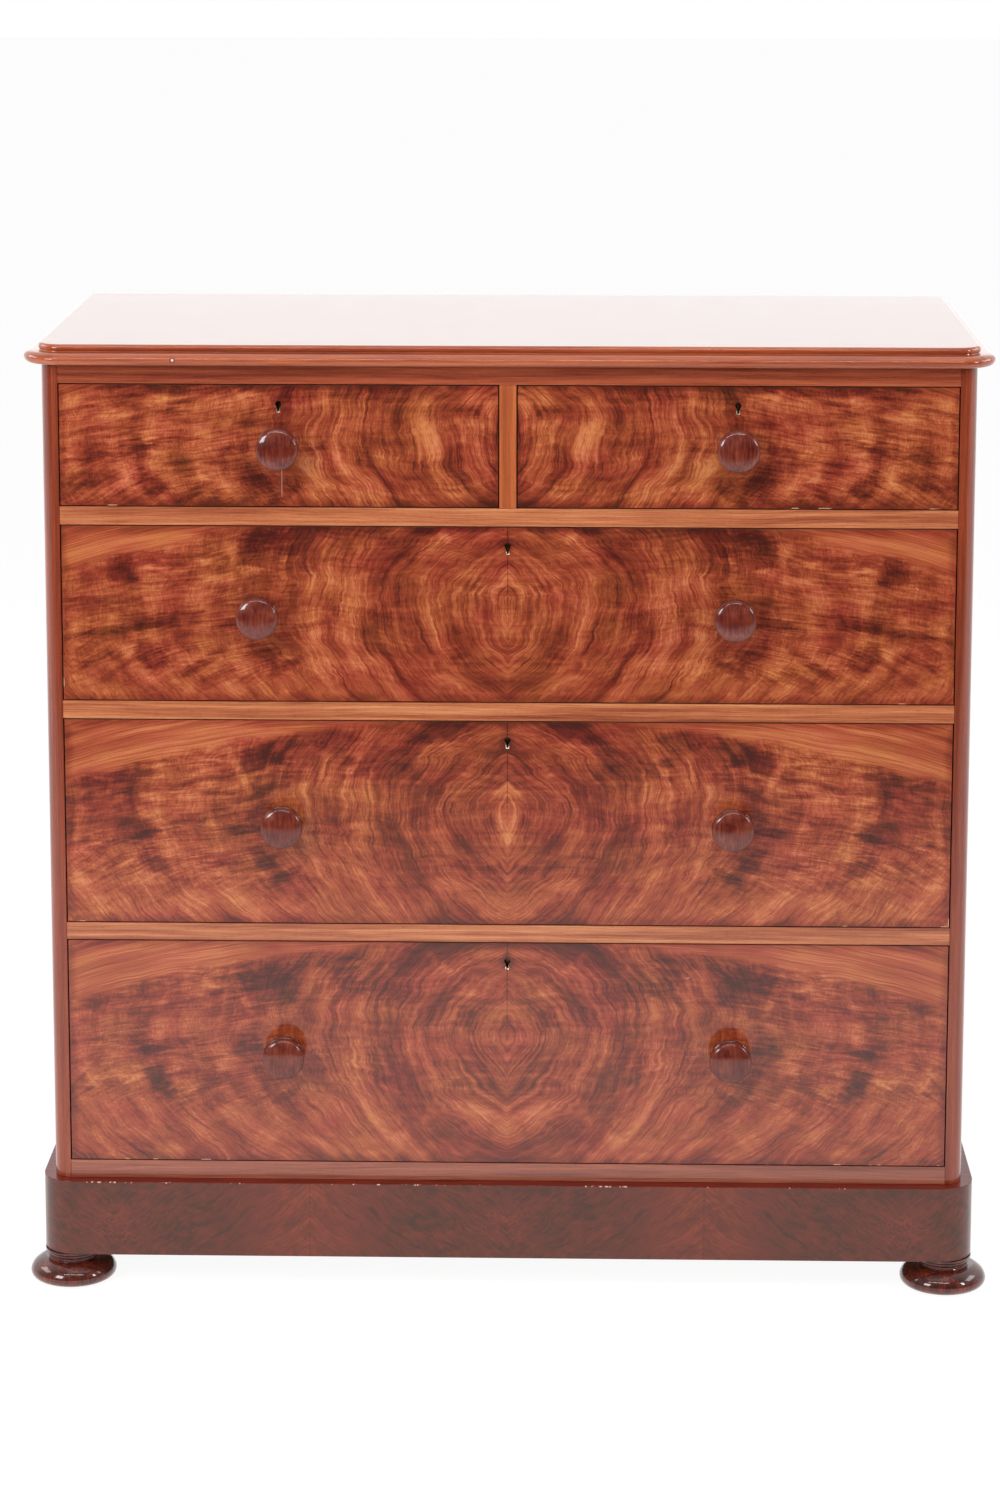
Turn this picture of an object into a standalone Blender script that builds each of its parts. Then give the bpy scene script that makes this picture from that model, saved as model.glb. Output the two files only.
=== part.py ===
"""A mahogany chest of two short over three long drawers, as separate jointed pieces.

Metres, +Z up. The front faces -Y and the origin is on the floor, under the middle of the chest.
The case is drawn from an empty on the floor under its front face: x to the right, y backwards.
Each drawer is drawn from an empty in the middle of its front's bottom edge, and slides along -Y.
"""

import math

import bmesh
import bpy
from mathutils import Vector

# Case
CASE_WIDTH = 1.150
CASE_DEPTH = 0.520
SIDE_THICKNESS = 0.022
SIDE_FRONT_RADIUS = 0.021
TOP_RAIL_HEIGHT = 0.0237
UPPER_RAIL_HEIGHT = 0.0225
MIDDLE_RAIL_HEIGHT = 0.0225
LOWER_RAIL_HEIGHT = 0.0217
BOTTOM_RAIL_HEIGHT = 0.0228
SHORT_OPENING_HEIGHT = 0.1536
TOP_OPENING_HEIGHT = 0.2225
MIDDLE_OPENING_HEIGHT = 0.2623
BOTTOM_OPENING_HEIGHT = 0.2896
RAIL_DEPTH = 0.075
TENON_LENGTH = 0.008
TENON_SET_BACK = 0.016
DIVIDER_THICKNESS = 0.021
RUNNER_WIDTH = 0.020
RUNNER_HEIGHT = 0.018
CENTRE_RUNNER_WIDTH = 0.070
CENTRE_TONGUE_HEIGHT = 0.0072
GUIDE_HEIGHT = 0.030
BOTTOM_BOARD_THICKNESS = 0.010
BACK_THICKNESS = 0.009
BACK_REBATE = 0.009
BACK_BOARDS = 6
BACK_VEE = 0.002
STOP_WIDTH = 0.034
STOP_DEPTH = 0.014
STOP_HEIGHT = 0.005
SHORT_STOP_OFFSET = 0.150
LONG_STOP_OFFSET = 0.350

# Top board
TOP_SIDE_OVERHANG = 0.022
TOP_FRONT_OVERHANG = 0.022
TOP_BACK_OVERHANG = 0.003
TOP_THICKNESS = 0.024
TOP_CORNER_RADIUS = 0.048
TOP_BULLNOSE_HEIGHT = 0.0148
TOP_LEDGE_END = 0.0195
TOP_OVOLO_INSET = 0.0180
TOP_FLAT_INSET = 0.0208

# Plinth and feet
PLINTH_HEIGHT = 0.0965
PLINTH_SIDE_PROJECTION = 0.015
PLINTH_FRONT_PROJECTION = 0.0165
PLINTH_CORNER_RADIUS = 0.042
PLINTH_BOARD_THICKNESS = 0.026
CORNER_BLOCK_LEG = 0.092
FOOT_HEIGHT = 0.041
FOOT_RADIUS = 0.0545
FOOT_COLLAR_RADIUS = 0.0315
FOOT_COLLAR_HEIGHT = 0.012
FOOT_COLLAR_STEP = 0.002
FOOT_INSET = 0.036
REAR_FOOT_INSET = 0.0565
FOOT_PEG_RADIUS = 0.011
FOOT_PEG_LENGTH = 0.040

# Drawers
DRAWER_GAP = 0.0016
DRAWER_LENGTH = 0.480
DRAWER_TOP_ROOM = 0.0016
FRONT_THICKNESS = 0.020
FRONT_LAP = 0.005
LINING_THICKNESS = 0.011
BACK_TOP_DROP = 0.010
DRAWER_BOTTOM_THICKNESS = 0.0065
BOTTOM_GROOVE_HEIGHT = 0.008
GROOVE_DEPTH = 0.005
END_PIN = 0.007
PIN_WIDTH = 0.006
TAIL_SLOPE = 1 / 7

# Knobs
KNOB_RADIUS = 0.026
KNOB_PROJECTION = 0.039
KNOB_NECK_RADIUS = 0.0105
KNOB_BASE_RADIUS = 0.014
KNOB_DOWEL_RADIUS = 0.007
KNOB_DOWEL_LENGTH = 0.019
LONG_KNOB_OFFSET = 0.280
ODD_KNOB_OFFSET = 0.308

# Locks
LOCK_PLATE_WIDTH = 0.060
LOCK_PLATE_THICKNESS = 0.0016
LOCK_CASE_WIDTH = 0.044
LOCK_DEPTH = 0.012
LOCK_HEIGHT = 0.042
LOCK_POCKET_DEPTH = 0.036
LOCK_FRONT_WALL = 0.0017
BOLT_WIDTH = 0.012
BOLT_THICKNESS = 0.006
BOLT_HEIGHT = 0.022
BOLT_CHAMFER = 0.001
BOLT_MORTISE_DEPTH = 0.008
KEYHOLE_DROP = 0.0265
KEYHOLE_RADIUS = 0.0034
KEYHOLE_SLOT_WIDTH = 0.0034
KEYHOLE_HEIGHT = 0.0135

# Clearance between pieces that fit together, the wider one round a bolt and over a foot's peg,
# and how far a cutter runs past what it cuts
FIT = 0.0003
LOOSE_FIT = 0.0009
PAST = 0.004

# How finely curves are drawn, and the angle in degrees above which an edge stays sharp
TURNING_STEPS = 20
ARC_STEPS = 5
SHARP_ANGLE = 28

# Heights worked out from the driving dimensions
PLINTH_TOP = FOOT_HEIGHT + PLINTH_HEIGHT
CASE_BOTTOM = PLINTH_TOP + FIT
BOTTOM_OPENING = CASE_BOTTOM + BOTTOM_RAIL_HEIGHT
LOWER_RAIL = BOTTOM_OPENING + BOTTOM_OPENING_HEIGHT
MIDDLE_OPENING = LOWER_RAIL + LOWER_RAIL_HEIGHT
MIDDLE_RAIL = MIDDLE_OPENING + MIDDLE_OPENING_HEIGHT
TOP_OPENING = MIDDLE_RAIL + MIDDLE_RAIL_HEIGHT
UPPER_RAIL = TOP_OPENING + TOP_OPENING_HEIGHT
SHORT_OPENING = UPPER_RAIL + UPPER_RAIL_HEIGHT
TOP_RAIL = SHORT_OPENING + SHORT_OPENING_HEIGHT
CASE_TOP = TOP_RAIL + TOP_RAIL_HEIGHT
TOP_UNDERSIDE = CASE_TOP + FIT

# Places worked out across and along the case
OPENING_WIDTH = CASE_WIDTH - 2 * SIDE_THICKNESS
SHORT_OPENING_WIDTH = (OPENING_WIDTH - DIVIDER_THICKNESS) / 2
SHORT_DRAWER_X = (SHORT_OPENING_WIDTH + DIVIDER_THICKNESS) / 2
BACK_PANEL_FRONT = CASE_DEPTH - BACK_THICKNESS
FRONT_Y = (KNOB_PROJECTION - CASE_DEPTH - TOP_BACK_OVERHANG) / 2
LOCK_FRONT = FRONT_THICKNESS - LOCK_DEPTH
BOLT_CENTRE = LOCK_FRONT + LOCK_FRONT_WALL + FIT + BOLT_THICKNESS / 2


def linear(red, green, blue):
    """A colour as seen on a screen, 0 to 255, as Blender's linear colour."""
    return [((c / 255 + 0.055) / 1.055) ** 2.4 for c in (red, green, blue)] + [1]


def material(name, colour, roughness, metallic=0.0):
    made = bpy.data.materials.new(name)
    made.use_nodes = True
    shader = made.node_tree.nodes["Principled BSDF"]
    shader.inputs["Base Color"].default_value = linear(*colour)
    shader.inputs["Roughness"].default_value = roughness
    shader.inputs["Metallic"].default_value = metallic
    made.diffuse_color = linear(*colour)
    return made


def empty(name, location):
    made = bpy.data.objects.new(name, None)
    made.location = location
    made.empty_display_size = 0.05
    bpy.context.scene.collection.objects.link(made)
    return made


def as_mesh(name, solid, look):
    """Turns a bmesh into a mesh with its outside facing out."""
    bmesh.ops.recalc_face_normals(solid, faces=solid.faces)
    mesh = bpy.data.meshes.new(name)
    solid.to_mesh(mesh)
    solid.free()
    mesh.shade_smooth()
    mesh.set_sharp_from_angle(angle=math.radians(SHARP_ANGLE))
    if look:
        mesh.materials.append(look)
    return mesh


def place(name, mesh, parent, location):
    made = bpy.data.objects.new(name, mesh)
    made.parent = parent
    made.location = location
    bpy.context.scene.collection.objects.link(made)
    return made


def finish(name, solid, look, parent, location=(0, 0, 0)):
    """Turns a bmesh into an object that hangs from the given empty."""
    return place(name, as_mesh(name, solid, look), parent, location)


def change(target, operation, solid):
    """Leaves a Boolean on the target, with the solid as its hidden other half."""
    other = finish(f"{target.name}_{operation.lower()}", solid, None, target.parent, target.location)
    other.hide_render = True
    other.display_type = "WIRE"
    modifier = target.modifiers.new(other.name, "BOOLEAN")
    modifier.operation = operation
    modifier.solver = "EXACT"
    modifier.object = other


def prism(outline, axis, low, high, solid=None):
    """Extrudes a closed outline along an axis. The outline's two numbers are the other axes, in order."""
    solid = solid or bmesh.new()
    turn = {"X": lambda a, b: (low, a, b), "Y": lambda a, b: (a, low, b), "Z": lambda a, b: (a, b, low)}
    way = {"X": (high - low, 0, 0), "Y": (0, high - low, 0), "Z": (0, 0, high - low)}
    face = solid.faces.new([solid.verts.new(turn[axis](*point)) for point in outline])
    grown = bmesh.ops.extrude_face_region(solid, geom=[face], use_keep_orig=True)["geom"]
    moved = [item for item in grown if isinstance(item, bmesh.types.BMVert)]
    bmesh.ops.translate(solid, verts=moved, vec=way[axis])
    return solid


def block(x, y, z, solid=None):
    """A box given by its low and high x, y and z."""
    corners = [(x[0], y[0]), (x[1], y[0]), (x[1], y[1]), (x[0], y[1])]
    return prism(corners, "Z", z[0], z[1], solid)


def both_ways(size):
    return (-size / 2, size / 2)


def arc(centre, radius, start, end, steps=ARC_STEPS):
    """Points on an arc, with its angles in degrees."""
    angles = [math.radians(start + (end - start) * i / steps) for i in range(steps + 1)]
    return [(centre[0] + radius * math.cos(a), centre[1] + radius * math.sin(a)) for a in angles]


def circle(centre, radius, steps=TURNING_STEPS):
    return arc(centre, radius, 0, 360, steps)[:-1]


def loft(rings):
    """A closed solid through rings of points, each with as many points as the last."""
    solid = bmesh.new()
    loops = [[solid.verts.new(point) for point in ring] for ring in rings]
    for lower, upper in zip(loops, loops[1:]):
        for i, vertex in enumerate(lower):
            solid.faces.new((lower[i - 1], vertex, upper[i], upper[i - 1]))
    solid.faces.new(loops[0])
    solid.faces.new(loops[-1])
    return solid


def turned(profile, axis):
    """Spins (radius, distance) points, which begin and end on the axis, once round."""
    across = Vector((1, 0, 0))
    solid = bmesh.new()
    line = [solid.verts.new(across * radius + axis * along) for radius, along in profile]
    edges = [solid.edges.new(pair) for pair in zip(line, line[1:])]
    bmesh.ops.spin(
        solid, geom=line + edges, cent=(0, 0, 0), axis=axis, steps=TURNING_STEPS, angle=math.tau
    )
    bmesh.ops.remove_doubles(solid, verts=solid.verts, dist=1e-6)
    return solid


def case_outline(half_width, front, back, radius):
    """A plan with two rounded front corners and two square back corners."""
    right = arc((half_width - radius, front + radius), radius, -90, 0)
    left = [(-x, y) for x, y in reversed(right)]
    return [(-half_width, back)] + left + right + [(half_width, back)]


def make_top_board(case, look):
    """The board's edge from its underside: a bullnose, a ledge, and an ovolo up to the flat top."""
    nose = TOP_BULLNOSE_HEIGHT / 2
    edge = [(nose - a, nose + b) for a, b in arc((0, 0), nose, -80, 84, 8)]
    ovolo = (TOP_THICKNESS - TOP_BULLNOSE_HEIGHT) / 2
    middle = TOP_BULLNOSE_HEIGHT + ovolo
    edge += [(TOP_LEDGE_END, TOP_BULLNOSE_HEIGHT)]
    edge += [(TOP_OVOLO_INSET + ovolo - a, middle + b) for a, b in arc((0, 0), ovolo, -50, 50, 4)]
    edge += [(TOP_FLAT_INSET, TOP_THICKNESS)]
    half_width = CASE_WIDTH / 2 + TOP_SIDE_OVERHANG
    back = CASE_DEPTH + TOP_BACK_OVERHANG
    rings = []
    for inset, height in edge:
        radius = TOP_CORNER_RADIUS - inset
        plan = case_outline(half_width - inset, inset - TOP_FRONT_OVERHANG, back, radius)
        rings.append([(x, y, TOP_UNDERSIDE + height) for x, y in plan])
    finish("top_board", loft(rings), look, case)


def rail_lap(side, margin, low, high, solid=None):
    """The dovetail lap that ties the top rail into the top of a side."""
    root, tip = OPENING_WIDTH / 2 - PAST, OPENING_WIDTH / 2 + TENON_LENGTH + margin
    front, back = TENON_SET_BACK - margin, RAIL_DEPTH - TENON_SET_BACK + margin
    flare = (TENON_LENGTH + PAST) * TAIL_SLOPE
    plan = [(root, front + flare), (tip, front), (tip, back), (root, back - flare)]
    return prism([(side * x, y) for x, y in plan], "Z", low, high, solid)


def make_side(name, side, case, look):
    """A side board: front edge rounded outside, back rebated inside, with its runners and housings."""
    inner, outer = OPENING_WIDTH / 2, CASE_WIDTH / 2
    radius = min(SIDE_FRONT_RADIUS, outer - inner - FIT)
    plan = [(inner, 0)] + arc((outer - radius, radius), radius, -90, 0)
    plan += [(outer, CASE_DEPTH), (inner + BACK_REBATE, CASE_DEPTH)]
    plan += [(inner + BACK_REBATE, BACK_PANEL_FRONT), (inner, BACK_PANEL_FRONT)]
    board = finish(
        name, prism([(side * x, y) for x, y in plan], "Z", CASE_BOTTOM, CASE_TOP), look, case
    )

    runners = bmesh.new()
    across = sorted((side * (inner - RUNNER_WIDTH), side * (inner + PAST)))
    for level in (MIDDLE_OPENING, TOP_OPENING, SHORT_OPENING):
        along = (RAIL_DEPTH + FIT, BACK_PANEL_FRONT - FIT)
        block(across, along, (level - RUNNER_HEIGHT, level), runners)
    change(board, "UNION", runners)

    housings = bmesh.new()
    across = sorted((side * (inner - PAST), side * (inner + TENON_LENGTH + FIT)))
    rails = (
        (CASE_BOTTOM - PAST, BOTTOM_OPENING),
        (LOWER_RAIL, MIDDLE_OPENING),
        (MIDDLE_RAIL, TOP_OPENING),
        (UPPER_RAIL, SHORT_OPENING),
    )
    for low, high in rails:
        along = (TENON_SET_BACK - FIT, RAIL_DEPTH - TENON_SET_BACK + FIT)
        block(across, along, (low - FIT, high + FIT), housings)
    along = (RAIL_DEPTH - TENON_LENGTH - FIT, CASE_DEPTH + PAST)
    block(across, along, (BOTTOM_OPENING - BOTTOM_BOARD_THICKNESS - FIT, BOTTOM_OPENING + FIT), housings)
    rail_lap(side, FIT, TOP_RAIL - FIT, CASE_TOP + PAST, housings)
    change(board, "DIFFERENCE", housings)


def rail_plan():
    """A rail from above, with a stub tenon at each end set back from its front and back edges."""
    shoulder, tip = OPENING_WIDTH / 2 - FIT, OPENING_WIDTH / 2 + TENON_LENGTH
    front, back = TENON_SET_BACK, RAIL_DEPTH - TENON_SET_BACK
    half = [(shoulder, 0), (shoulder, front), (tip, front), (tip, back)]
    half += [(shoulder, back), (shoulder, RAIL_DEPTH)]
    return half + [(-x, y) for x, y in reversed(half)]


def bolt_mortise(x, underside, solid=None):
    """The pocket above a drawer's lock, which its bolt rises into."""
    half_width, half_depth = BOLT_WIDTH / 2 + LOOSE_FIT, BOLT_THICKNESS / 2 + LOOSE_FIT
    across = (x - half_width, x + half_width)
    along = (BOLT_CENTRE - half_depth, BOLT_CENTRE + half_depth)
    return block(across, along, (underside - PAST, underside + BOLT_MORTISE_DEPTH), solid)


def divider_mortise(low, high, solid):
    """The housing for the centre divider's stub tenon, in the rail above or below it."""
    across = both_ways(DIVIDER_THICKNESS + 2 * FIT)
    return block(across, (TENON_SET_BACK - FIT, RAIL_DEPTH - TENON_SET_BACK + FIT), (low, high), solid)


def make_rail(name, low, high, stops_at, case, look):
    """A drawer rail, with two stops on its top for each drawer that closes on it."""
    rail = finish(name, prism(rail_plan(), "Z", low, high), look, case)
    stops = bmesh.new()
    for x in stops_at:
        across = (x - STOP_WIDTH / 2, x + STOP_WIDTH / 2)
        along = (FRONT_THICKNESS + FIT, FRONT_THICKNESS + FIT + STOP_DEPTH)
        block(across, along, (high - PAST, high + STOP_HEIGHT), stops)
    change(rail, "UNION", stops)
    return rail


def make_top_rail(case, look):
    """The rail under the top board, lapped into the sides and mortised for two bolts and the divider."""
    across = both_ways(OPENING_WIDTH - 2 * FIT)
    rail = finish("top_rail", block(across, (0, RAIL_DEPTH), (TOP_RAIL, CASE_TOP)), look, case)
    laps = rail_lap(-1, 0, TOP_RAIL, CASE_TOP)
    change(rail, "UNION", rail_lap(1, 0, TOP_RAIL, CASE_TOP, laps))
    pockets = bolt_mortise(-SHORT_DRAWER_X, TOP_RAIL)
    bolt_mortise(SHORT_DRAWER_X, TOP_RAIL, pockets)
    change(rail, "DIFFERENCE", divider_mortise(TOP_RAIL - PAST, TOP_RAIL + TENON_LENGTH + FIT, pockets))


def make_rails(case, look):
    """The three rails between the drawers and the one below them, each with its pockets."""
    make_top_rail(case, look)
    sides = (-1, 1)
    short_stops = [a * SHORT_DRAWER_X + b * SHORT_STOP_OFFSET for a in sides for b in sides]
    long_stops = (-LONG_STOP_OFFSET, LONG_STOP_OFFSET)

    upper = make_rail("upper_drawer_rail", UPPER_RAIL, SHORT_OPENING, short_stops, case, look)
    pockets = bolt_mortise(0, UPPER_RAIL)
    divider_mortise(SHORT_OPENING - TENON_LENGTH - FIT, SHORT_OPENING + PAST, pockets)
    centre_tongue(FIT, pockets)
    change(upper, "DIFFERENCE", pockets)

    middle = make_rail("middle_drawer_rail", MIDDLE_RAIL, TOP_OPENING, long_stops, case, look)
    change(middle, "DIFFERENCE", bolt_mortise(0, MIDDLE_RAIL))

    lower = make_rail("lower_drawer_rail", LOWER_RAIL, MIDDLE_OPENING, long_stops, case, look)
    change(lower, "DIFFERENCE", bolt_mortise(0, LOWER_RAIL))

    bottom = make_rail("bottom_rail", CASE_BOTTOM, BOTTOM_OPENING, long_stops, case, look)
    along = (RAIL_DEPTH - TENON_LENGTH - FIT, RAIL_DEPTH + PAST)
    height = (BOTTOM_OPENING - BOTTOM_BOARD_THICKNESS - FIT, BOTTOM_OPENING + PAST)
    change(bottom, "DIFFERENCE", block(both_ways(CASE_WIDTH), along, height))


def make_divider(case, look):
    """The upright between the short drawers, with a stub tenon up and one down."""
    front, back = TENON_SET_BACK, RAIL_DEPTH - TENON_SET_BACK
    low, high = SHORT_OPENING + FIT, TOP_RAIL - FIT
    down, up = SHORT_OPENING - TENON_LENGTH, TOP_RAIL + TENON_LENGTH
    side_view = [(0, low), (front, low), (front, down), (back, down), (back, low), (RAIL_DEPTH, low)]
    side_view += [(RAIL_DEPTH, high), (back, high), (back, up), (front, up), (front, high), (0, high)]
    width = both_ways(DIVIDER_THICKNESS)
    finish("centre_divider", prism(side_view, "X", *width), look, case)


def centre_tongue(margin, solid=None):
    """The stub that ties the centre runner into the back of the upper rail."""
    middle = SHORT_OPENING - RUNNER_HEIGHT / 2
    height = (middle - CENTRE_TONGUE_HEIGHT / 2 - margin, middle + CENTRE_TONGUE_HEIGHT / 2 + margin)
    across = both_ways(CENTRE_RUNNER_WIDTH / 2 + 2 * margin)
    return block(across, (RAIL_DEPTH - TENON_LENGTH - margin, RAIL_DEPTH + PAST), height, solid)


def make_centre_runner(case, look):
    """A T-shaped runner that carries the inner sides of the short drawers and guides them."""
    base, guide = CENTRE_RUNNER_WIDTH / 2, DIVIDER_THICKNESS / 2
    low, level, top = SHORT_OPENING - RUNNER_HEIGHT, SHORT_OPENING, SHORT_OPENING + GUIDE_HEIGHT
    half = [(base, low), (base, level), (guide, level), (guide, top)]
    end_view = half + [(-x, z) for x, z in reversed(half)]
    along = (RAIL_DEPTH + FIT, BACK_PANEL_FRONT - FIT)
    runner = finish("centre_runner", prism(end_view, "Y", *along), look, case)
    change(runner, "UNION", centre_tongue(0))


def make_bottom_board(case, look):
    """The board that the lowest drawer runs on, housed in the sides and the bottom rail."""
    across = both_ways(OPENING_WIDTH + 2 * TENON_LENGTH)
    along = (RAIL_DEPTH - TENON_LENGTH, BACK_PANEL_FRONT - FIT)
    height = (BOTTOM_OPENING - BOTTOM_BOARD_THICKNESS, BOTTOM_OPENING)
    finish("bottom_board", block(across, along, height), look, case)


def make_back_panel(case, look):
    """Matched boards with a vee at each joint, in the rebates of the two sides."""
    half_width = OPENING_WIDTH / 2 + BACK_REBATE - FIT
    board = 2 * half_width / BACK_BOARDS
    plan = [(-half_width, BACK_PANEL_FRONT), (half_width, BACK_PANEL_FRONT), (half_width, CASE_DEPTH)]
    for joint in range(BACK_BOARDS - 1, 0, -1):
        x = joint * board - half_width
        plan += [(x + BACK_VEE, CASE_DEPTH), (x, CASE_DEPTH - BACK_VEE), (x - BACK_VEE, CASE_DEPTH)]
    plan += [(-half_width, CASE_DEPTH)]
    finish("back_panel", prism(plan, "Z", CASE_BOTTOM, CASE_TOP), look, case)


def feet_places():
    """Where the middle of each foot stands, by name."""
    across = CASE_WIDTH / 2 + PLINTH_SIDE_PROJECTION - FOOT_INSET
    front = FOOT_INSET - PLINTH_FRONT_PROJECTION
    rear = CASE_DEPTH - REAR_FOOT_INSET
    return {
        "front_left_foot": (-across, front),
        "front_right_foot": (across, front),
        "rear_left_foot": (-across, rear),
        "rear_right_foot": (across, rear),
    }


def make_plinth(case, look):
    """A frame with rounded front corners and a corner block over each foot, bored for its peg."""
    half_width = CASE_WIDTH / 2 + PLINTH_SIDE_PROJECTION
    outer = case_outline(half_width, -PLINTH_FRONT_PROJECTION, CASE_DEPTH, PLINTH_CORNER_RADIUS)
    frame = finish("plinth_frame", prism(outer, "Z", FOOT_HEIGHT, PLINTH_TOP), look, case)
    x, leg = half_width - PLINTH_BOARD_THICKNESS, CORNER_BLOCK_LEG
    front = PLINTH_BOARD_THICKNESS - PLINTH_FRONT_PROJECTION
    back = CASE_DEPTH - PLINTH_BOARD_THICKNESS
    half = [(x - leg, front), (x, front + leg), (x, back - leg), (x - leg, back)]
    inner = half + [(-x, y) for x, y in reversed(half)]
    cuts = prism(inner, "Z", FOOT_HEIGHT - PAST, PLINTH_TOP + PAST)
    for middle in feet_places().values():
        bore = circle(middle, FOOT_PEG_RADIUS + FIT)
        prism(bore, "Z", FOOT_HEIGHT - PAST, FOOT_HEIGHT + FOOT_PEG_LENGTH + LOOSE_FIT, cuts)
    change(frame, "DIFFERENCE", cuts)


def foot_profile():
    """From the floor up: a flat pad, the bun, a stepped collar and the peg."""
    shoulder = FOOT_HEIGHT - FOOT_COLLAR_HEIGHT
    widest = 0.36 * shoulder
    pad, collar = 0.76 * FOOT_RADIUS, FOOT_COLLAR_RADIUS
    under = [(pad + (FOOT_RADIUS - pad) * math.cos(a), widest + widest * math.sin(a)) for a in (-1.1, -0.6)]
    reach, rise = FOOT_RADIUS - collar - 0.003, shoulder - widest
    over = [math.radians(a) for a in (0, 22, 44, 64, 82)]
    bun = [(FOOT_RADIUS - reach + reach * math.cos(a), widest + rise * math.sin(a)) for a in over]
    step = FOOT_COLLAR_HEIGHT / 4
    top = FOOT_HEIGHT - FIT
    wider, widest_step = collar + FOOT_COLLAR_STEP, collar + 2 * FOOT_COLLAR_STEP
    rings = [(collar, shoulder), (collar, shoulder + step), (wider, shoulder + 1.4 * step)]
    rings += [(wider, shoulder + 2.6 * step), (widest_step, shoulder + 3 * step)]
    rings += [(widest_step, top), (FOOT_PEG_RADIUS, top)]
    peg_top = FOOT_HEIGHT + FOOT_PEG_LENGTH
    return [(0, 0), (pad, 0)] + under + bun + rings + [(FOOT_PEG_RADIUS, peg_top), (0, peg_top)]


def make_feet(case, look):
    first = None
    for name, (x, y) in feet_places().items():
        if first:
            place(name, first.data, case, (x, y, 0))
        else:
            first = finish(name, turned(foot_profile(), Vector((0, 0, 1))), look, case, (x, y, 0))


def tail_edges(low, high, count):
    """The low and high edge of each dovetail at its wide end, with narrow pins between the tails."""
    room = high - low - 2 * END_PIN - (count - 1) * PIN_WIDTH
    width = room / count
    starts = [low + END_PIN + i * (width + PIN_WIDTH) for i in range(count)]
    return [(start, start + width) for start in starts]


def tail_line(edges, root, tip):
    """The zigzag of a row of tails, from the lowest up: narrow at the root, wide at the tip."""
    narrow = abs(tip - root) * TAIL_SLOPE
    line = []
    for low, high in edges:
        line += [(root, low + narrow), (tip, low), (tip, high), (root, high - narrow)]
    return line


def tail_sockets(edges, root, tip, end_room, inner, outer):
    """Cutters for the tails at both ends of a board: each tail with its clearance, and more at its tip."""
    way = math.copysign(1, tip - root)
    start, end = root - way * PAST, tip + way * end_room
    narrow, wide = abs(tip - start) * TAIL_SLOPE, end_room * TAIL_SLOPE
    solid = bmesh.new()
    for low, high in edges:
        tail = [(start, low + narrow - FIT), (end, low - wide - FIT)]
        tail += [(end, high + wide + FIT), (start, high - narrow + FIT)]
        for side in (-1, 1):
            prism(tail, "X", *sorted((side * inner, side * outer)), solid)
    return solid


def lock_plan(margin):
    """A drawer lock from above: a wide plate at the back of the front, and its case let in ahead."""
    plate, body = LOCK_PLATE_WIDTH / 2 + margin, LOCK_CASE_WIDTH / 2 + margin
    step = FRONT_THICKNESS - LOCK_PLATE_THICKNESS - margin
    back = FRONT_THICKNESS + (PAST if margin else 0)
    half = [(plate, back), (plate, step), (body, step), (body, LOCK_FRONT - margin)]
    return half + [(-x, y) for x, y in reversed(half)]


def keyhole(top, start, end):
    """A round hole over a slot, with its middle the keyhole drop below the drawer's top edge."""
    middle = top - KEYHOLE_DROP
    centre = middle + KEYHOLE_HEIGHT / 2 - KEYHOLE_RADIUS
    half_slot = KEYHOLE_SLOT_WIDTH / 2
    meet = math.degrees(math.asin(half_slot / KEYHOLE_RADIUS))
    outline = arc((0, centre), KEYHOLE_RADIUS, -90 + meet, 270 - meet, 10)
    bottom = middle - KEYHOLE_HEIGHT / 2
    return prism(outline + [(-half_slot, bottom), (half_slot, bottom)], "Y", start, end)


def knob_profile():
    """From inside the drawer outwards: dowel, base, neck, bead, groove, rim and a low dome."""
    r, reach = KNOB_RADIUS, KNOB_PROJECTION
    dowel = [(0, -KNOB_DOWEL_LENGTH), (KNOB_DOWEL_RADIUS, -KNOB_DOWEL_LENGTH)]
    dowel += [(KNOB_DOWEL_RADIUS, FIT)]
    base = [(KNOB_BASE_RADIUS, FIT), (KNOB_BASE_RADIUS, 0.06 * reach), (KNOB_NECK_RADIUS, 0.13 * reach)]
    neck = [(KNOB_NECK_RADIUS, 0.24 * reach), (0.62 * r, 0.41 * reach), (0.86 * r, 0.50 * reach)]
    bead = [(0.935 * r, 0.55 * reach), (0.925 * r, 0.615 * reach), (0.885 * r, 0.635 * reach)]
    rim = [(0.965 * r, 0.68 * reach), (r, 0.745 * reach), (0.975 * r, 0.82 * reach)]
    dome = [(0.89 * r, 0.89 * reach), (0.68 * r, 0.95 * reach), (0.36 * r, 0.988 * reach), (0, reach)]
    return dowel + base + neck + bead + rim + dome


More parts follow.
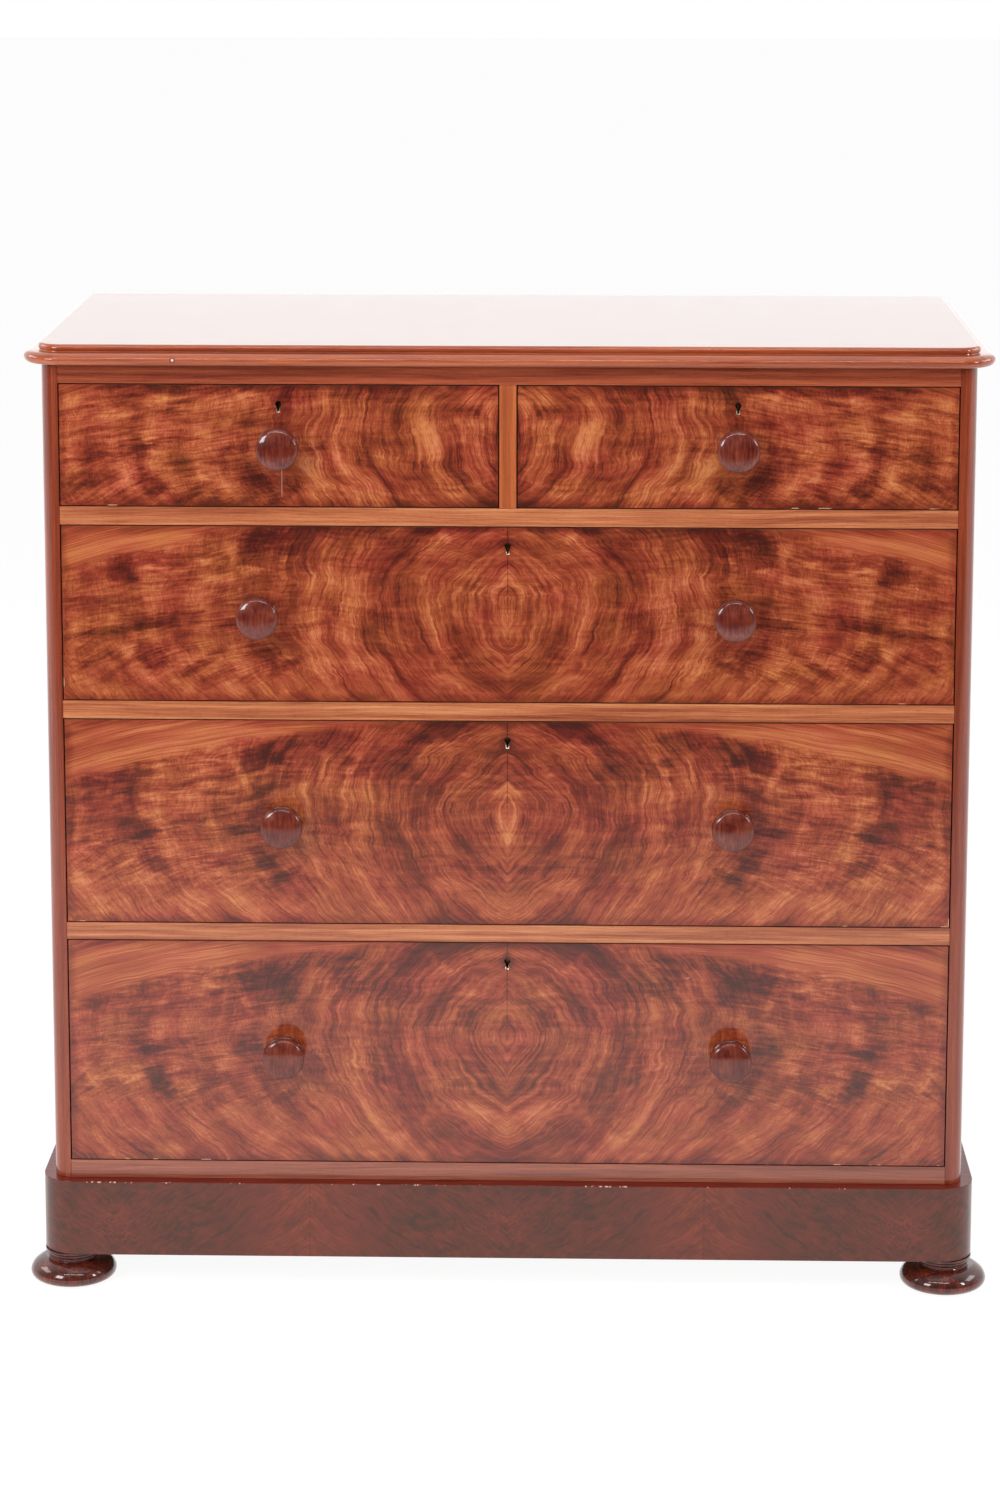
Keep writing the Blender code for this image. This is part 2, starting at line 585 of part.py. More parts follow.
class Drawer:
    """One drawer: its place in the case, and its pieces around an empty under its front."""

    def __init__(self, name, x, level, opening_width, opening_height, tails, knobs):
        self.name = name
        self.x, self.level = x, level
        self.width = opening_width - 2 * DRAWER_GAP
        self.height = opening_height - 2 * DRAWER_GAP
        self.tails, self.knobs = tails, knobs
        self.empty = empty(name, (x, FRONT_Y, level + DRAWER_GAP))

        self.outer = self.width / 2
        self.inner = self.outer - LINING_THICKNESS
        self.side_low = FIT - DRAWER_GAP
        self.side_high = self.height - DRAWER_TOP_ROOM
        self.front_root = FRONT_THICKNESS + FIT
        self.back_face = DRAWER_LENGTH
        self.back_root = DRAWER_LENGTH - LINING_THICKNESS - FIT
        self.board_low = BOTTOM_GROOVE_HEIGHT
        self.board_high = BOTTOM_GROOVE_HEIGHT + DRAWER_BOTTOM_THICKNESS
        self.back_low = self.board_high + FIT
        self.back_high = self.side_high - BACK_TOP_DROP
        self.front_tails = tail_edges(0, self.height, tails)
        self.back_tails = tail_edges(self.back_low, self.back_high, tails)

    def piece(self, name, solid, look):
        return finish(f"{self.name}_{name}", solid, look, self.empty)

    def make_front(self, look):
        """The front: sockets at its ends, a groove, a lock recess, knob bores and a keyhole."""
        board = block(both_ways(self.width), (0, FRONT_THICKNESS), (0, self.height))
        front = self.piece("front", board, look)
        reach = (self.inner - FIT, self.outer + PAST)
        sockets = tail_sockets(self.front_tails, self.front_root, FRONT_LAP + FIT, FIT, *reach)
        change(front, "DIFFERENCE", sockets)
        across = both_ways(2 * (self.inner + GROOVE_DEPTH))
        along = (FRONT_THICKNESS - GROOVE_DEPTH, FRONT_THICKNESS + PAST)
        recesses = block(across, along, (self.board_low - FIT, self.board_high + FIT))
        prism(lock_plan(FIT), "Z", self.height - LOCK_HEIGHT - FIT, self.height + PAST, recesses)
        for x in self.knobs:
            bore = circle((x, self.height / 2), KNOB_DOWEL_RADIUS + FIT)
            prism(bore, "Y", -PAST, FRONT_THICKNESS + PAST, recesses)
        change(front, "DIFFERENCE", recesses)
        change(front, "DIFFERENCE", keyhole(self.height, -PAST, BOLT_CENTRE))

    def make_lining(self, name, side, look):
        """A drawer side: tails into the front, tails into the back, and a groove for the bottom."""
        tip = FRONT_LAP + FIT
        ends = [(self.front_root, self.side_low)] + tail_line(self.front_tails, self.front_root, tip)
        ends += [(self.front_root, self.side_high), (self.back_face, self.side_high)]
        ends += [(self.back_face, self.back_high + FIT), (self.back_root, self.back_high + FIT)]
        ends += reversed(tail_line(self.back_tails, self.back_root, self.back_face))
        ends += [(self.back_root, self.back_low - FIT), (self.back_face, self.back_low - FIT)]
        ends += [(self.back_face, self.side_low)]
        across = sorted((side * self.inner, side * self.outer))
        lining = self.piece(name, prism(ends, "X", *across), look)
        across = sorted((side * (self.inner - PAST), side * (self.inner + GROOVE_DEPTH)))
        height = (self.board_low - FIT, self.board_high + FIT)
        groove = block(across, (-PAST, self.back_face + PAST), height)
        change(lining, "DIFFERENCE", groove)

    def make_back(self, look):
        """The back stands on the bottom, with pins between the tails of the sides."""
        along = (self.back_face - LINING_THICKNESS, self.back_face)
        board = block(both_ways(self.width), along, (self.back_low, self.back_high))
        back = self.piece("back", board, look)
        reach = (self.inner - FIT, self.outer + PAST)
        sockets = tail_sockets(self.back_tails, self.back_root, self.back_face, PAST, *reach)
        change(back, "DIFFERENCE", sockets)

    def make_bottom(self, look):
        """The bottom board, held in the grooves and pushed in from behind."""
        half = self.inner + GROOVE_DEPTH - FIT
        along = (FRONT_THICKNESS - GROOVE_DEPTH + FIT, self.back_face)
        self.piece("bottom", block((-half, half), along, (self.board_low, self.board_high)), look)

    def make_lock(self, look, bolt_look):
        """A brass lock with a pocket for its bolt, and the bolt withdrawn in it."""
        low = self.height - LOCK_HEIGHT
        lock = self.piece("lock", prism(lock_plan(0), "Z", low, self.height), look)
        across = both_ways(BOLT_WIDTH + 2 * FIT)
        along = (BOLT_CENTRE - BOLT_THICKNESS / 2 - FIT, BOLT_CENTRE + BOLT_THICKNESS / 2 + FIT)
        pocket = block(across, along, (self.height - LOCK_POCKET_DEPTH, self.height + PAST))
        change(lock, "DIFFERENCE", pocket)
        change(lock, "DIFFERENCE", keyhole(self.height, LOCK_FRONT - PAST, BOLT_CENTRE))

        edge, tip = BOLT_WIDTH / 2, self.height - FIT
        face = [(-edge, tip - BOLT_HEIGHT), (edge, tip - BOLT_HEIGHT), (edge, tip - BOLT_CHAMFER)]
        face += [(edge - BOLT_CHAMFER, tip), (BOLT_CHAMFER - edge, tip), (-edge, tip - BOLT_CHAMFER)]
        along = (BOLT_CENTRE - BOLT_THICKNESS / 2, BOLT_CENTRE + BOLT_THICKNESS / 2)
        self.piece("lock_bolt", prism(face, "Y", *along), bolt_look)

    def place_knobs(self, mesh):
        names = ["knob"] if len(self.knobs) == 1 else ["left_knob", "right_knob"]
        for name, x in zip(names, self.knobs):
            place(f"{self.name}_{name}", mesh, self.empty, (x, 0, self.height / 2))


def make_drawers(looks):
    knobs = (-LONG_KNOB_OFFSET, LONG_KNOB_OFFSET)
    odd_knobs = (-ODD_KNOB_OFFSET, LONG_KNOB_OFFSET)
    short = (SHORT_OPENING, SHORT_OPENING_WIDTH, SHORT_OPENING_HEIGHT, 3, (0,))
    top = (TOP_OPENING, OPENING_WIDTH, TOP_OPENING_HEIGHT, 4, odd_knobs)
    middle = (MIDDLE_OPENING, OPENING_WIDTH, MIDDLE_OPENING_HEIGHT, 5, knobs)
    bottom = (BOTTOM_OPENING, OPENING_WIDTH, BOTTOM_OPENING_HEIGHT, 5, knobs)
    drawers = (
        Drawer("short_left_drawer", -SHORT_DRAWER_X, *short),
        Drawer("short_right_drawer", SHORT_DRAWER_X, *short),
        Drawer("top_long_drawer", 0, *top),
        Drawer("middle_long_drawer", 0, *middle),
        Drawer("bottom_long_drawer", 0, *bottom),
    )
    knob = as_mesh("knob", turned(knob_profile(), Vector((0, -1, 0))), looks["turned"])
    for drawer in drawers:
        drawer.make_front(looks["flame"])
        drawer.make_lining("left_side", -1, looks["lining"])
        drawer.make_lining("right_side", 1, looks["lining"])
        drawer.make_back(looks["lining"])
        drawer.make_bottom(looks["lining"])
        drawer.make_lock(looks["brass"], looks["steel"])
        drawer.place_knobs(knob)


def main():
    for thing in list(bpy.data.objects):
        bpy.data.objects.remove(thing)
    looks = {
        "flame": material("flame_veneer", (165, 76, 42), 0.25),
        "mahogany": material("solid_mahogany", (168, 84, 50), 0.3),
        "plinth": material("plinth_veneer", (112, 68, 56), 0.3),
        "turned": material("turned_mahogany", (110, 44, 34), 0.2),
        "lining": material("drawer_lining", (196, 160, 112), 0.7),
        "carcass": material("carcass_pine", (180, 140, 92), 0.75),
        "brass": material("brass", (178, 138, 70), 0.35, 1.0),
        "steel": material("steel", (150, 146, 140), 0.4, 1.0),
    }
    case = empty("case", (0, FRONT_Y, 0))
    make_top_board(case, looks["mahogany"])
    make_side("left_side", -1, case, looks["mahogany"])
    make_side("right_side", 1, case, looks["mahogany"])
    make_rails(case, looks["mahogany"])
    make_divider(case, looks["mahogany"])
    make_centre_runner(case, looks["carcass"])
    make_bottom_board(case, looks["carcass"])
    make_back_panel(case, looks["carcass"])
    make_plinth(case, looks["plinth"])
    make_feet(case, looks["turned"])
    make_drawers(looks)


main()
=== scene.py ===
"""The looks of a mahogany chest of drawers: its veneers, polish, turnings and small metalwork.

Metres, +Z up, the front faces -Y. Finishes are worked out in millimetres.
"""

import math
import random

import bmesh
import bpy
from mathutils import Matrix, Vector


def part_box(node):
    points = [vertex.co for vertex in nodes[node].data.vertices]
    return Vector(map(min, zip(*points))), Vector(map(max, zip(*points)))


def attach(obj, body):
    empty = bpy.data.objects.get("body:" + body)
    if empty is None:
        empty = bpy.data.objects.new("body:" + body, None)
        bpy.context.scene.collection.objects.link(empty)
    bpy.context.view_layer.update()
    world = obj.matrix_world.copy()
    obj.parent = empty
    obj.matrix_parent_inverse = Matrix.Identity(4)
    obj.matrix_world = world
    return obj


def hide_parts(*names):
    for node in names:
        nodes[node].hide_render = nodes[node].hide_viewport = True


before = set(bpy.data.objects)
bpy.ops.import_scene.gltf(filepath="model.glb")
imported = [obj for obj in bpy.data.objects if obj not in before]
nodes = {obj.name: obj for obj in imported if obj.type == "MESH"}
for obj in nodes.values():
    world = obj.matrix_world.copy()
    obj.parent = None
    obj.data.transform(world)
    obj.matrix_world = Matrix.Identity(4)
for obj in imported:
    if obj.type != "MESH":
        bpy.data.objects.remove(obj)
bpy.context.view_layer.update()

DRAWERS = (
    "short_left_drawer",
    "short_right_drawer",
    "top_long_drawer",
    "middle_long_drawer",
    "bottom_long_drawer",
)
FEET = ("front_left_foot", "front_right_foot", "rear_left_foot", "rear_right_foot")

# Millimetres in a metre
MM = 1000

# Points of a mesh that are this close together are one point
SAME_POINT = 1e-5

# Places read from the solids
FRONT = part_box("centre_divider")[0].y
PLINTH_LOW, PLINTH_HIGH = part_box("plinth_frame")

# A drawer of each row, from the lowest up
ROWS = ("bottom_long_drawer", "middle_long_drawer", "top_long_drawer", "short_left_drawer")

# For the same rows: how far below a front's top edge the figure of its veneer has its middle, in
# millimetres, where in the noise its leaves are cut, and the veneer's contrast, tone and redness
FIGURE_DROPS = (132, 132, 112, 70)
LEAVES = (0.0, 0.4, 0.8, 1.2)
VENEER_CONTRASTS = (1.12, 1.12, 1.1, 1.16)
VENEER_TONES = (0.45, 0.48, 0.485, 0.485)
VENEER_REDNESS = (0.03, 0.02, 0, 0)

# The keyholes: a round hole over a slot. Drop is from the top edge of a front to a keyhole's middle
KEYHOLE_RADIUS = 0.0034
KEYHOLE_SLOT = 0.0034
KEYHOLE_HEIGHT = 0.0135
KEYHOLE_DROP = 0.0265

# A keyhole liner's section, from the rim on the veneer into the hole and back along the wood:
# how far inside the keyhole's edge, and how far behind the veneer's face
LINER_SECTION = (
    (-0.0004, 0.0002),
    (-0.0004, -0.0001),
    (-0.0001, -0.0004),
    (0.0003, -0.0001),
    (0.0003, 0.004),
    (0.00005, 0.004),
    (0.00005, 0.0002),
)

# The top: its bullnose, the ledge over it, and an ovolo up to the flat. The nose's run is how far
# its upper half slopes back, and the points are insets with heights over the nose or the flat
TOP_CORNER_RADIUS = 0.048
NOSE_HEIGHT = 0.0148
NOSE_RUN = 0.0125
LEDGE_END = ((0.0192, 0.0001), (0.0195, 0.0002))
OVOLO_INSET = 0.0180
TOP_ARRIS = ((0.0206, -0.0003), (0.0212, 0), (0.0225, 0))

# A knock in the front edge of the top: across and up, in millimetres
TOP_KNOCK = (-409, 1187)

# A knob's profile, as radii and distances from the face of the front. The base and neck are in
# metres, and the rest are parts of the knob's own radius and reach
KNOB_DOWEL_RADIUS = 0.007
KNOB_BASE = ((0.0138, 0.0003), (0.0143, 0.0012))
KNOB_NECK = ((0.0143, 0.0020), (0.0132, 0.0036), (0.0108, 0.0052), (0.0104, 0.0075))
KNOB_NECK_END = (0.0106, 0.0085)
KNOB_FLARE = ((0.56, 0.29), (0.76, 0.36), (0.84, 0.385))
KNOB_INNER_BEAD = ((0.87, 0.395), (0.955, 0.42), (0.955, 0.46), (0.86, 0.49))
KNOB_OUTER_BEAD = ((0.89, 0.505), (0.985, 0.535), (0.985, 0.585), (0.88, 0.625))
KNOB_RIM = ((0.91, 0.640), (0.975, 0.675), (1, 0.735), (0.992, 0.800))
KNOB_DOME = ((0.96, 0.862), (0.86, 0.910), (0.62, 0.958), (0.31, 0.989), (0, 1))

# A foot's profile, as parts of its radius and heights over the floor. The collar ends just under
# the plinth
FOOT_BUN_BELOW = ((0.75, 0.0), (0.90, 0.0024), (0.975, 0.0060), (1, 0.0108))
FOOT_BUN_ABOVE = ((0.975, 0.0160), (0.90, 0.0214), (0.76, 0.0262), (0.62, 0.0282))
FOOT_COVE = ((0.585, 0.0284), (0.575, 0.0292), (0.575, 0.0316))
FOOT_BEAD = ((0.60, 0.0324), (0.61, 0.0334), (0.61, 0.0362), (0.60, 0.0370))
FOOT_COLLAR = ((0.635, 0.0374), (0.65, 0.0382))
FOOT_PEG_RADIUS = 0.011
FOOT_GAP = 0.0003

# The head of a screw, in parts of its radius: half the width of its slot, and rings as shares of
# full size with heights over the plate
SCREW_SLOT_HALF = 0.16
SCREW_RINGS = ((1, -0.35), (1, 0.10), (0.88, 0.20))

# The screws of a lock, and how far they are from its sides, its bottom and its top
SCREW_RADIUS = 0.0026
SCREW_FROM_SIDE = 0.004
SCREW_FROM_BOTTOM = 0.006
SCREW_FROM_TOP = 0.008

# The nails of the back: where they are across a board, how far from its ends, their half width
# and half height, and rings as shares of full size with heights over the wood
BACK_BOARDS = 6
NAILS_ACROSS = (0.22, 0.78)
NAIL_FROM_END = 0.012
NAIL_HALF = (0.0012, 0.0030)
NAIL_RINGS = ((1, -0.002), (1, 0.0002), (0.7, 0.0005))

# The plinth's veneer is laid in panels this wide, and its wood is bare inside these faces, all in
# millimetres
PLINTH_PANEL = 249
PLINTH_INSIDE_X = 565
PLINTH_INSIDE_Y = -232

# The look of each solid of the case that the scene keeps, and the width of its softened edges
CASE_LOOKS = (
    ("top_rail", "top_rail", 0.0005),
    ("upper_drawer_rail", "rail", 0.0005),
    ("middle_drawer_rail", "rail", 0.0005),
    ("lower_drawer_rail", "rail", 0.0005),
    ("bottom_rail", "bottom_rail", 0.0005),
    ("left_side", "side", 0.0005),
    ("right_side", "side", 0.0005),
    ("centre_divider", "divider", 0.0005),
    ("plinth_frame", "plinth", 0.0008),
    ("centre_runner", "pine_long", 0.0006),
    ("bottom_board", "pine_across", 0.0006),
    ("back_panel", "pine_upright", 0.0005),
)

# The same for each drawer
DRAWER_LOOKS = (
    ("front", "front", 0.0004),
    ("left_side", "lining_long", 0.0004),
    ("right_side", "lining_long", 0.0004),
    ("back", "lining_across", 0.0004),
    ("bottom", "lining_across", 0.0004),
    ("lock", "brass", 0.0002),
    ("lock_bolt", "steel", 0.0002),
)


def middle_of(node):
    """The middle of a solid's box: x, y and z."""
    low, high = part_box(node)
    return [(a + b) / 2 for a, b in zip(low, high)]


# Colours

# Each wood's colours by tone, from 0 to 1. Colours are as seen on a screen, 0 to 255. The flame
# veneer is golden in some places and redder in others
GOLDEN_VENEER = (
    (0.00, (70, 27, 15)),
    (0.22, (102, 44, 22)),
    (0.42, (141, 66, 34)),
    (0.58, (171, 91, 48)),
    (0.76, (200, 124, 70)),
    (1.00, (214, 148, 90)),
)
RED_VENEER = (
    (0.00, (72, 21, 14)),
    (0.22, (107, 31, 22)),
    (0.42, (143, 52, 36)),
    (0.58, (169, 74, 51)),
    (0.76, (196, 105, 74)),
    (1.00, (212, 134, 96)),
)
PLINTH_VENEER = (
    (0.00, (46, 24, 17)),
    (0.30, (77, 40, 28)),
    (0.55, (114, 50, 33)),
    (0.80, (148, 66, 43)),
    (1.00, (178, 98, 66)),
)
LEDGE_WOOD = ((0.2, (70, 16, 10)), (0.8, (138, 44, 28)))
CORE_WOOD = ((0.0, (120, 66, 42)), (0.5, (158, 98, 64)), (1.0, (186, 128, 86)))
RAIL_WOOD = ((0.0, (112, 50, 32)), (0.35, (164, 88, 56)), (0.6, (194, 117, 76)), (1.0, (222, 158, 110)))
DIVIDER_WOOD = ((0.0, (112, 48, 28)), (0.35, (158, 78, 42)), (0.6, (188, 100, 56)), (1.0, (212, 132, 82)))
# The top rail has the rail wood made darker: painted shade under the overhang of the top
TOP_RAIL_SHADED_WOOD = ((0.0, (90, 34, 22)), (0.35, (136, 60, 38)), (0.6, (164, 80, 52)), (1.0, (190, 108, 72)))
# The bottom rail has the rail wood made darker and pinker: painted shade near the plinth, and a pinker tint
# of its own
BOTTOM_RAIL_SHADED_WOOD = ((0.0, (98, 46, 36)), (0.35, (144, 78, 60)), (0.6, (170, 98, 76)), (1.0, (198, 132, 104)))
SIDE_WOOD = ((0.0, (74, 26, 15)), (0.4, (123, 48, 26)), (0.65, (149, 65, 36)), (1.0, (178, 94, 58)))
TOP_EDGE_WOOD = ((0.0, (98, 38, 22)), (0.4, (154, 70, 40)), (0.65, (182, 94, 54)), (1.0, (208, 128, 80)))
# The flat of the top has a darker copy of the edge wood: painted shade against the lamp light that falls on
# the flat
TOP_FLAT_SHADED_WOOD = ((0.0, (80, 31, 16)), (0.4, (122, 53, 27)), (0.65, (140, 68, 36)), (1.0, (158, 88, 52)))
KNOB_WOOD = ((0.0, (48, 9, 6)), (0.3, (88, 24, 15)), (0.6, (120, 50, 34)), (1.0, (156, 88, 64)))
FOOT_WOOD = ((0.0, (28, 7, 6)), (0.4, (68, 20, 13)), (0.65, (112, 44, 27)), (1.0, (160, 92, 62)))
LINING_WOOD = ((0.0, (156, 108, 68)), (0.4, (194, 148, 102)), (0.7, (212, 170, 122)), (1.0, (226, 192, 148)))
PINE_WOOD = ((0.0, (126, 82, 54)), (0.4, (168, 120, 82)), (0.7, (190, 145, 103)), (1.0, (208, 170, 128)))

KNOT = (104, 58, 34)
CHIPPED_VENEER = (214, 164, 128)
SCRATCHED_VENEER = (224, 184, 160)
WORN_ARRIS = (220, 180, 160)
BRUISED_WOOD = (110, 48, 34)
BARE_WOOD = (232, 196, 180)
BRASS = (196, 156, 84)
DULL_BRASS = (120, 86, 46)
BLACKENED_BRASS = (52, 34, 22)
RUBBED_BRASS = (246, 236, 214)
STEEL = (158, 154, 148)
DULL_STEEL = (96, 88, 80)

# Patches of the flame figure, in millimetres from the seam and from the figure's middle height:
# place out and up, half length, half height, tilt in degrees, and how much lighter they are
FIGURE_PATCHES = (
    (410, 66, 90, 26, -12, -0.06),
    (470, -14, 84, 5, -10, -0.11),
    (425, 2, 62, 5, -5, -0.09),
    (447, -9, 22, 9, -20, -0.11),
    (332, -10, 26, 8, -10, -0.10),
    (530, -54, 12, 14, 0, -0.10),
    (440, -48, 30, 15, 42, -0.16),
    (478, -54, 24, 4, -34, 0.11),
    (378, -60, 34, 8, -38, -0.14),
    (362, -78, 30, 12, -30, -0.09),
    (306, -50, 26, 14, 36, -0.12),
    (276, -66, 30, 7, -34, -0.11),
    (240, -12, 60, 4, -5, -0.06),
    (302, 74, 38, 34, 6, -0.14),
    (236, 82, 64, 30, 8, -0.09),
    (170, 80, 60, 26, 22, -0.07),
    (48, 36, 16, 12, 30, -0.09),
    (30, 60, 12, 26, 30, -0.06),
    (60, -52, 16, 7, -20, -0.07),
    (18, -54, 10, 6, 0, -0.07),
    (84, 106, 7, 26, -40, 0.11),
    (22, 112, 20, 18, 30, 0.06),
    (92, 6, 24, 34, 0, 0.04),
    (226, 74, 10, 34, 6, 0.09),
    (334, 64, 7, 38, -26, 0.12),
    (400, 18, 40, 12, 0, 0.06),
    (230, -60, 30, 22, 40, 0.06),
    (500, -96, 60, 18, 30, 0.06),
    (330, -108, 60, 14, 34, 0.06),
)

# The squares of the distance from a patch's middle at which it ends and at which it is full
PATCH_EDGE = (1.35, 0.05)

# Nicks in the veneer: drawer, place across and up from the middle of the drawer's height,
# half length and tilt, in millimetres and degrees
NICKS = (
    ("top_long_drawer", 504, 36, 3, -30),
    ("bottom_long_drawer", 227, 100, 3, 25),
    ("short_left_drawer", -278, -46, 18, 90),
)


def linear(red, green, blue):
    """A colour as seen on a screen, 0 to 255, as Blender's linear colour."""
    return [((c / 255 + 0.055) / 1.055) ** 2.4 for c in (red, green, blue)] + [1]


# Finishes


def operator(operation, swapped=False):
    """A Python operator that adds a Math node."""

    def apply(value, other=0.0):
        pair = (other, value) if swapped else (value, other)
        return value.finish.math(operation, *pair)

    return apply


class Value:
    """A number on its way through the nodes of a finish."""

    def __init__(self, finish, socket):
        self.finish, self.socket = finish, socket

    __add__ = __radd__ = operator("ADD")
    __mul__ = __rmul__ = operator("MULTIPLY")
    __sub__ = operator("SUBTRACT")
    __rsub__ = operator("SUBTRACT", swapped=True)
    __truediv__ = operator("DIVIDE")
    __pow__ = operator("POWER")
    __abs__ = operator("ABSOLUTE")


class Finish:
    """A polished or plain surface: one Principled shader and the nodes that feed it."""

    def __init__(self, name, coat=0.0, coat_roughness=0.05, metallic=0.0):
        self.material = bpy.data.materials.new(name)
        self.material.use_nodes = True
        self.tree = self.material.node_tree
        self.shader = self.tree.nodes["Principled BSDF"]
        self.shader.inputs["Coat Weight"].default_value = coat
        self.shader.inputs["Coat Roughness"].default_value = coat_roughness
        self.shader.inputs["Metallic"].default_value = metallic
        self.shader.inputs["Specular IOR Level"].default_value = 0.15 if coat else 0.5

    @classmethod
    def for_tree(cls, tree):
        """A bare finish that only adds nodes to an existing tree."""
        made = cls.__new__(cls)
        made.tree = tree
        return made

    def feed(self, socket, value):
        """Links a value to a socket, or sets the socket's own number or colour."""
        if isinstance(value, Value):
            self.tree.links.new(value.socket, socket)
        else:
            socket.default_value = value

    def node(self, kind, settings=None, inputs=(), output=0):
        """Adds a node, sets it up, feeds its inputs by name or in order, and gives one output."""
        made = self.tree.nodes.new(kind)
        for key, value in (settings or {}).items():
            if key == "stops":
                self.set_stops(made.color_ramp, value)
            else:
                setattr(made, key, value)
        pairs = inputs.items() if isinstance(inputs, dict) else enumerate(inputs)
        for key, value in pairs:
            self.feed(made.inputs[key], value)
        return Value(self, made.outputs[output])

    def set_stops(self, ramp, stops):
        while len(ramp.elements) < len(stops):
            ramp.elements.new(0.5)
        for element, (position, colour) in zip(ramp.elements, stops):
            element.position = position
            element.color = linear(*colour)

    def math(self, operation, *values):
        return self.node("ShaderNodeMath", {"operation": operation}, values)

    def place(self):
        """Where the surface is, in millimetres: x, y and z."""
        point = self.node("ShaderNodeTexCoord", output="Object")
        scaled = self.node("ShaderNodeVectorMath", {"operation": "SCALE"}, {0: point, "Scale": MM})
        return [self.node("ShaderNodeSeparateXYZ", inputs=[scaled], output=i) for i in range(3)]

    def noise(self, x, y, z, detail=1.0, roughness=0.5, distortion=0.0):
        """Smooth noise around 0. A place divided by a length has cells of that length."""
        point = self.node("ShaderNodeCombineXYZ", inputs=[x, y, z])
        settings = {"Vector": point, "Scale": 1.0, "Detail": detail}
        settings.update({"Roughness": roughness, "Distortion": distortion})
        return self.node("ShaderNodeTexNoise", inputs=settings) - 0.5

    def smooth(self, value, low, high):
        """0 below low, 1 above high, with a soft step between. Low may be the higher of the two."""
        inputs = [value, low, high, 0.0, 1.0]
        return self.node("ShaderNodeMapRange", {"interpolation_type": "SMOOTHSTEP"}, inputs)

    def ramp(self, value, *stops):
        return self.node("ShaderNodeValToRGB", {"stops": stops}, [value])

    def mix(self, amount, first, second):
        """Mixes colours. A plain colour is three numbers as seen on a screen."""
        first, second = (c if isinstance(c, Value) else linear(*c) for c in (first, second))
        inputs = {0: amount, 6: first, 7: second}
        return self.node("ShaderNodeMix", {"data_type": "RGBA"}, inputs, output=2)

    def paint(self, colour, roughness, height=None, relief=0.0001):
        """Feeds the shader. Height is a bump in units of relief, in metres."""
        self.feed(self.shader.inputs["Base Color"], colour)
        self.feed(self.shader.inputs["Roughness"], roughness)
        if height:
            bump = self.node("ShaderNodeBump", inputs={"Distance": relief, "Height": height})
            self.feed(self.shader.inputs["Normal"], bump)
        return self.material


def by_row(f, z, values):
    """A number that differs between the rows of drawers. Its values run from the lowest row up."""
    number = values[0]
    for name, before, after in zip(ROWS[1:], values, values[1:]):
        just_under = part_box(f"{name}_front")[0].z * MM - 3
        above = f.math("GREATER_THAN", z, just_under)
        number = above * (after - before) + number
    return number


def figure_patch(f, s, v, fray, patch):
    """A tilted oval in the flame figure, with an edge that frays along the grain."""
    middle_s, middle_v, half_s, half_v, tilt, _ = patch
    c, n = math.cos(math.radians(tilt)), math.sin(math.radians(tilt))
    a = ((s - middle_s) * c + (v - middle_v) * n) / half_s
    b = ((v - middle_v) * c - (s - middle_s) * n) / half_v
    return f.smooth(a * a + b * b + fray, *PATCH_EDGE)


def figure_strokes(f, s, v, leaf, sway, ripple):
    """Fine and wide strokes that rise towards the seam, nearly flat in the middle, steeper below."""
    risen = v + (s - 470) * (f.smooth(v, 0, -70) * 0.32 + 0.15) + sway * 18 + ripple * 8
    fine = f.noise(s / 50, risen / 3.4, leaf + 8, detail=3, roughness=0.7)
    wide = f.noise(s / 60, risen / 14, leaf + 2, detail=4, roughness=0.62)
    return fine, wide


def golden_band(f, s, v, leaf, sway, lift, feathers):
    """The straight-grained golden band that lies over the flame towards its outer top corner.

    Gives its tone, where it covers the flame, and how high a place is over its lower edge.
    """
    away = (s - 107) / 50
    plain = v - 128 + away * away
    above = plain + lift * 24 + feathers * 8
    cover = f.smooth(above, -5, 8) * f.smooth(s, 90, 200)
    grain = plain + sway * 12 - s * 0.05
    straight = f.noise(grain / 1.8, s / 110, leaf, detail=3, roughness=0.7)
    slow = f.noise(grain / 15, s / 170, leaf + 2, detail=1)
    tone = 0.63 + straight * 0.66 + slow * 0.40 - f.smooth(s, 430, 560) * 0.08
    return tone, cover, above


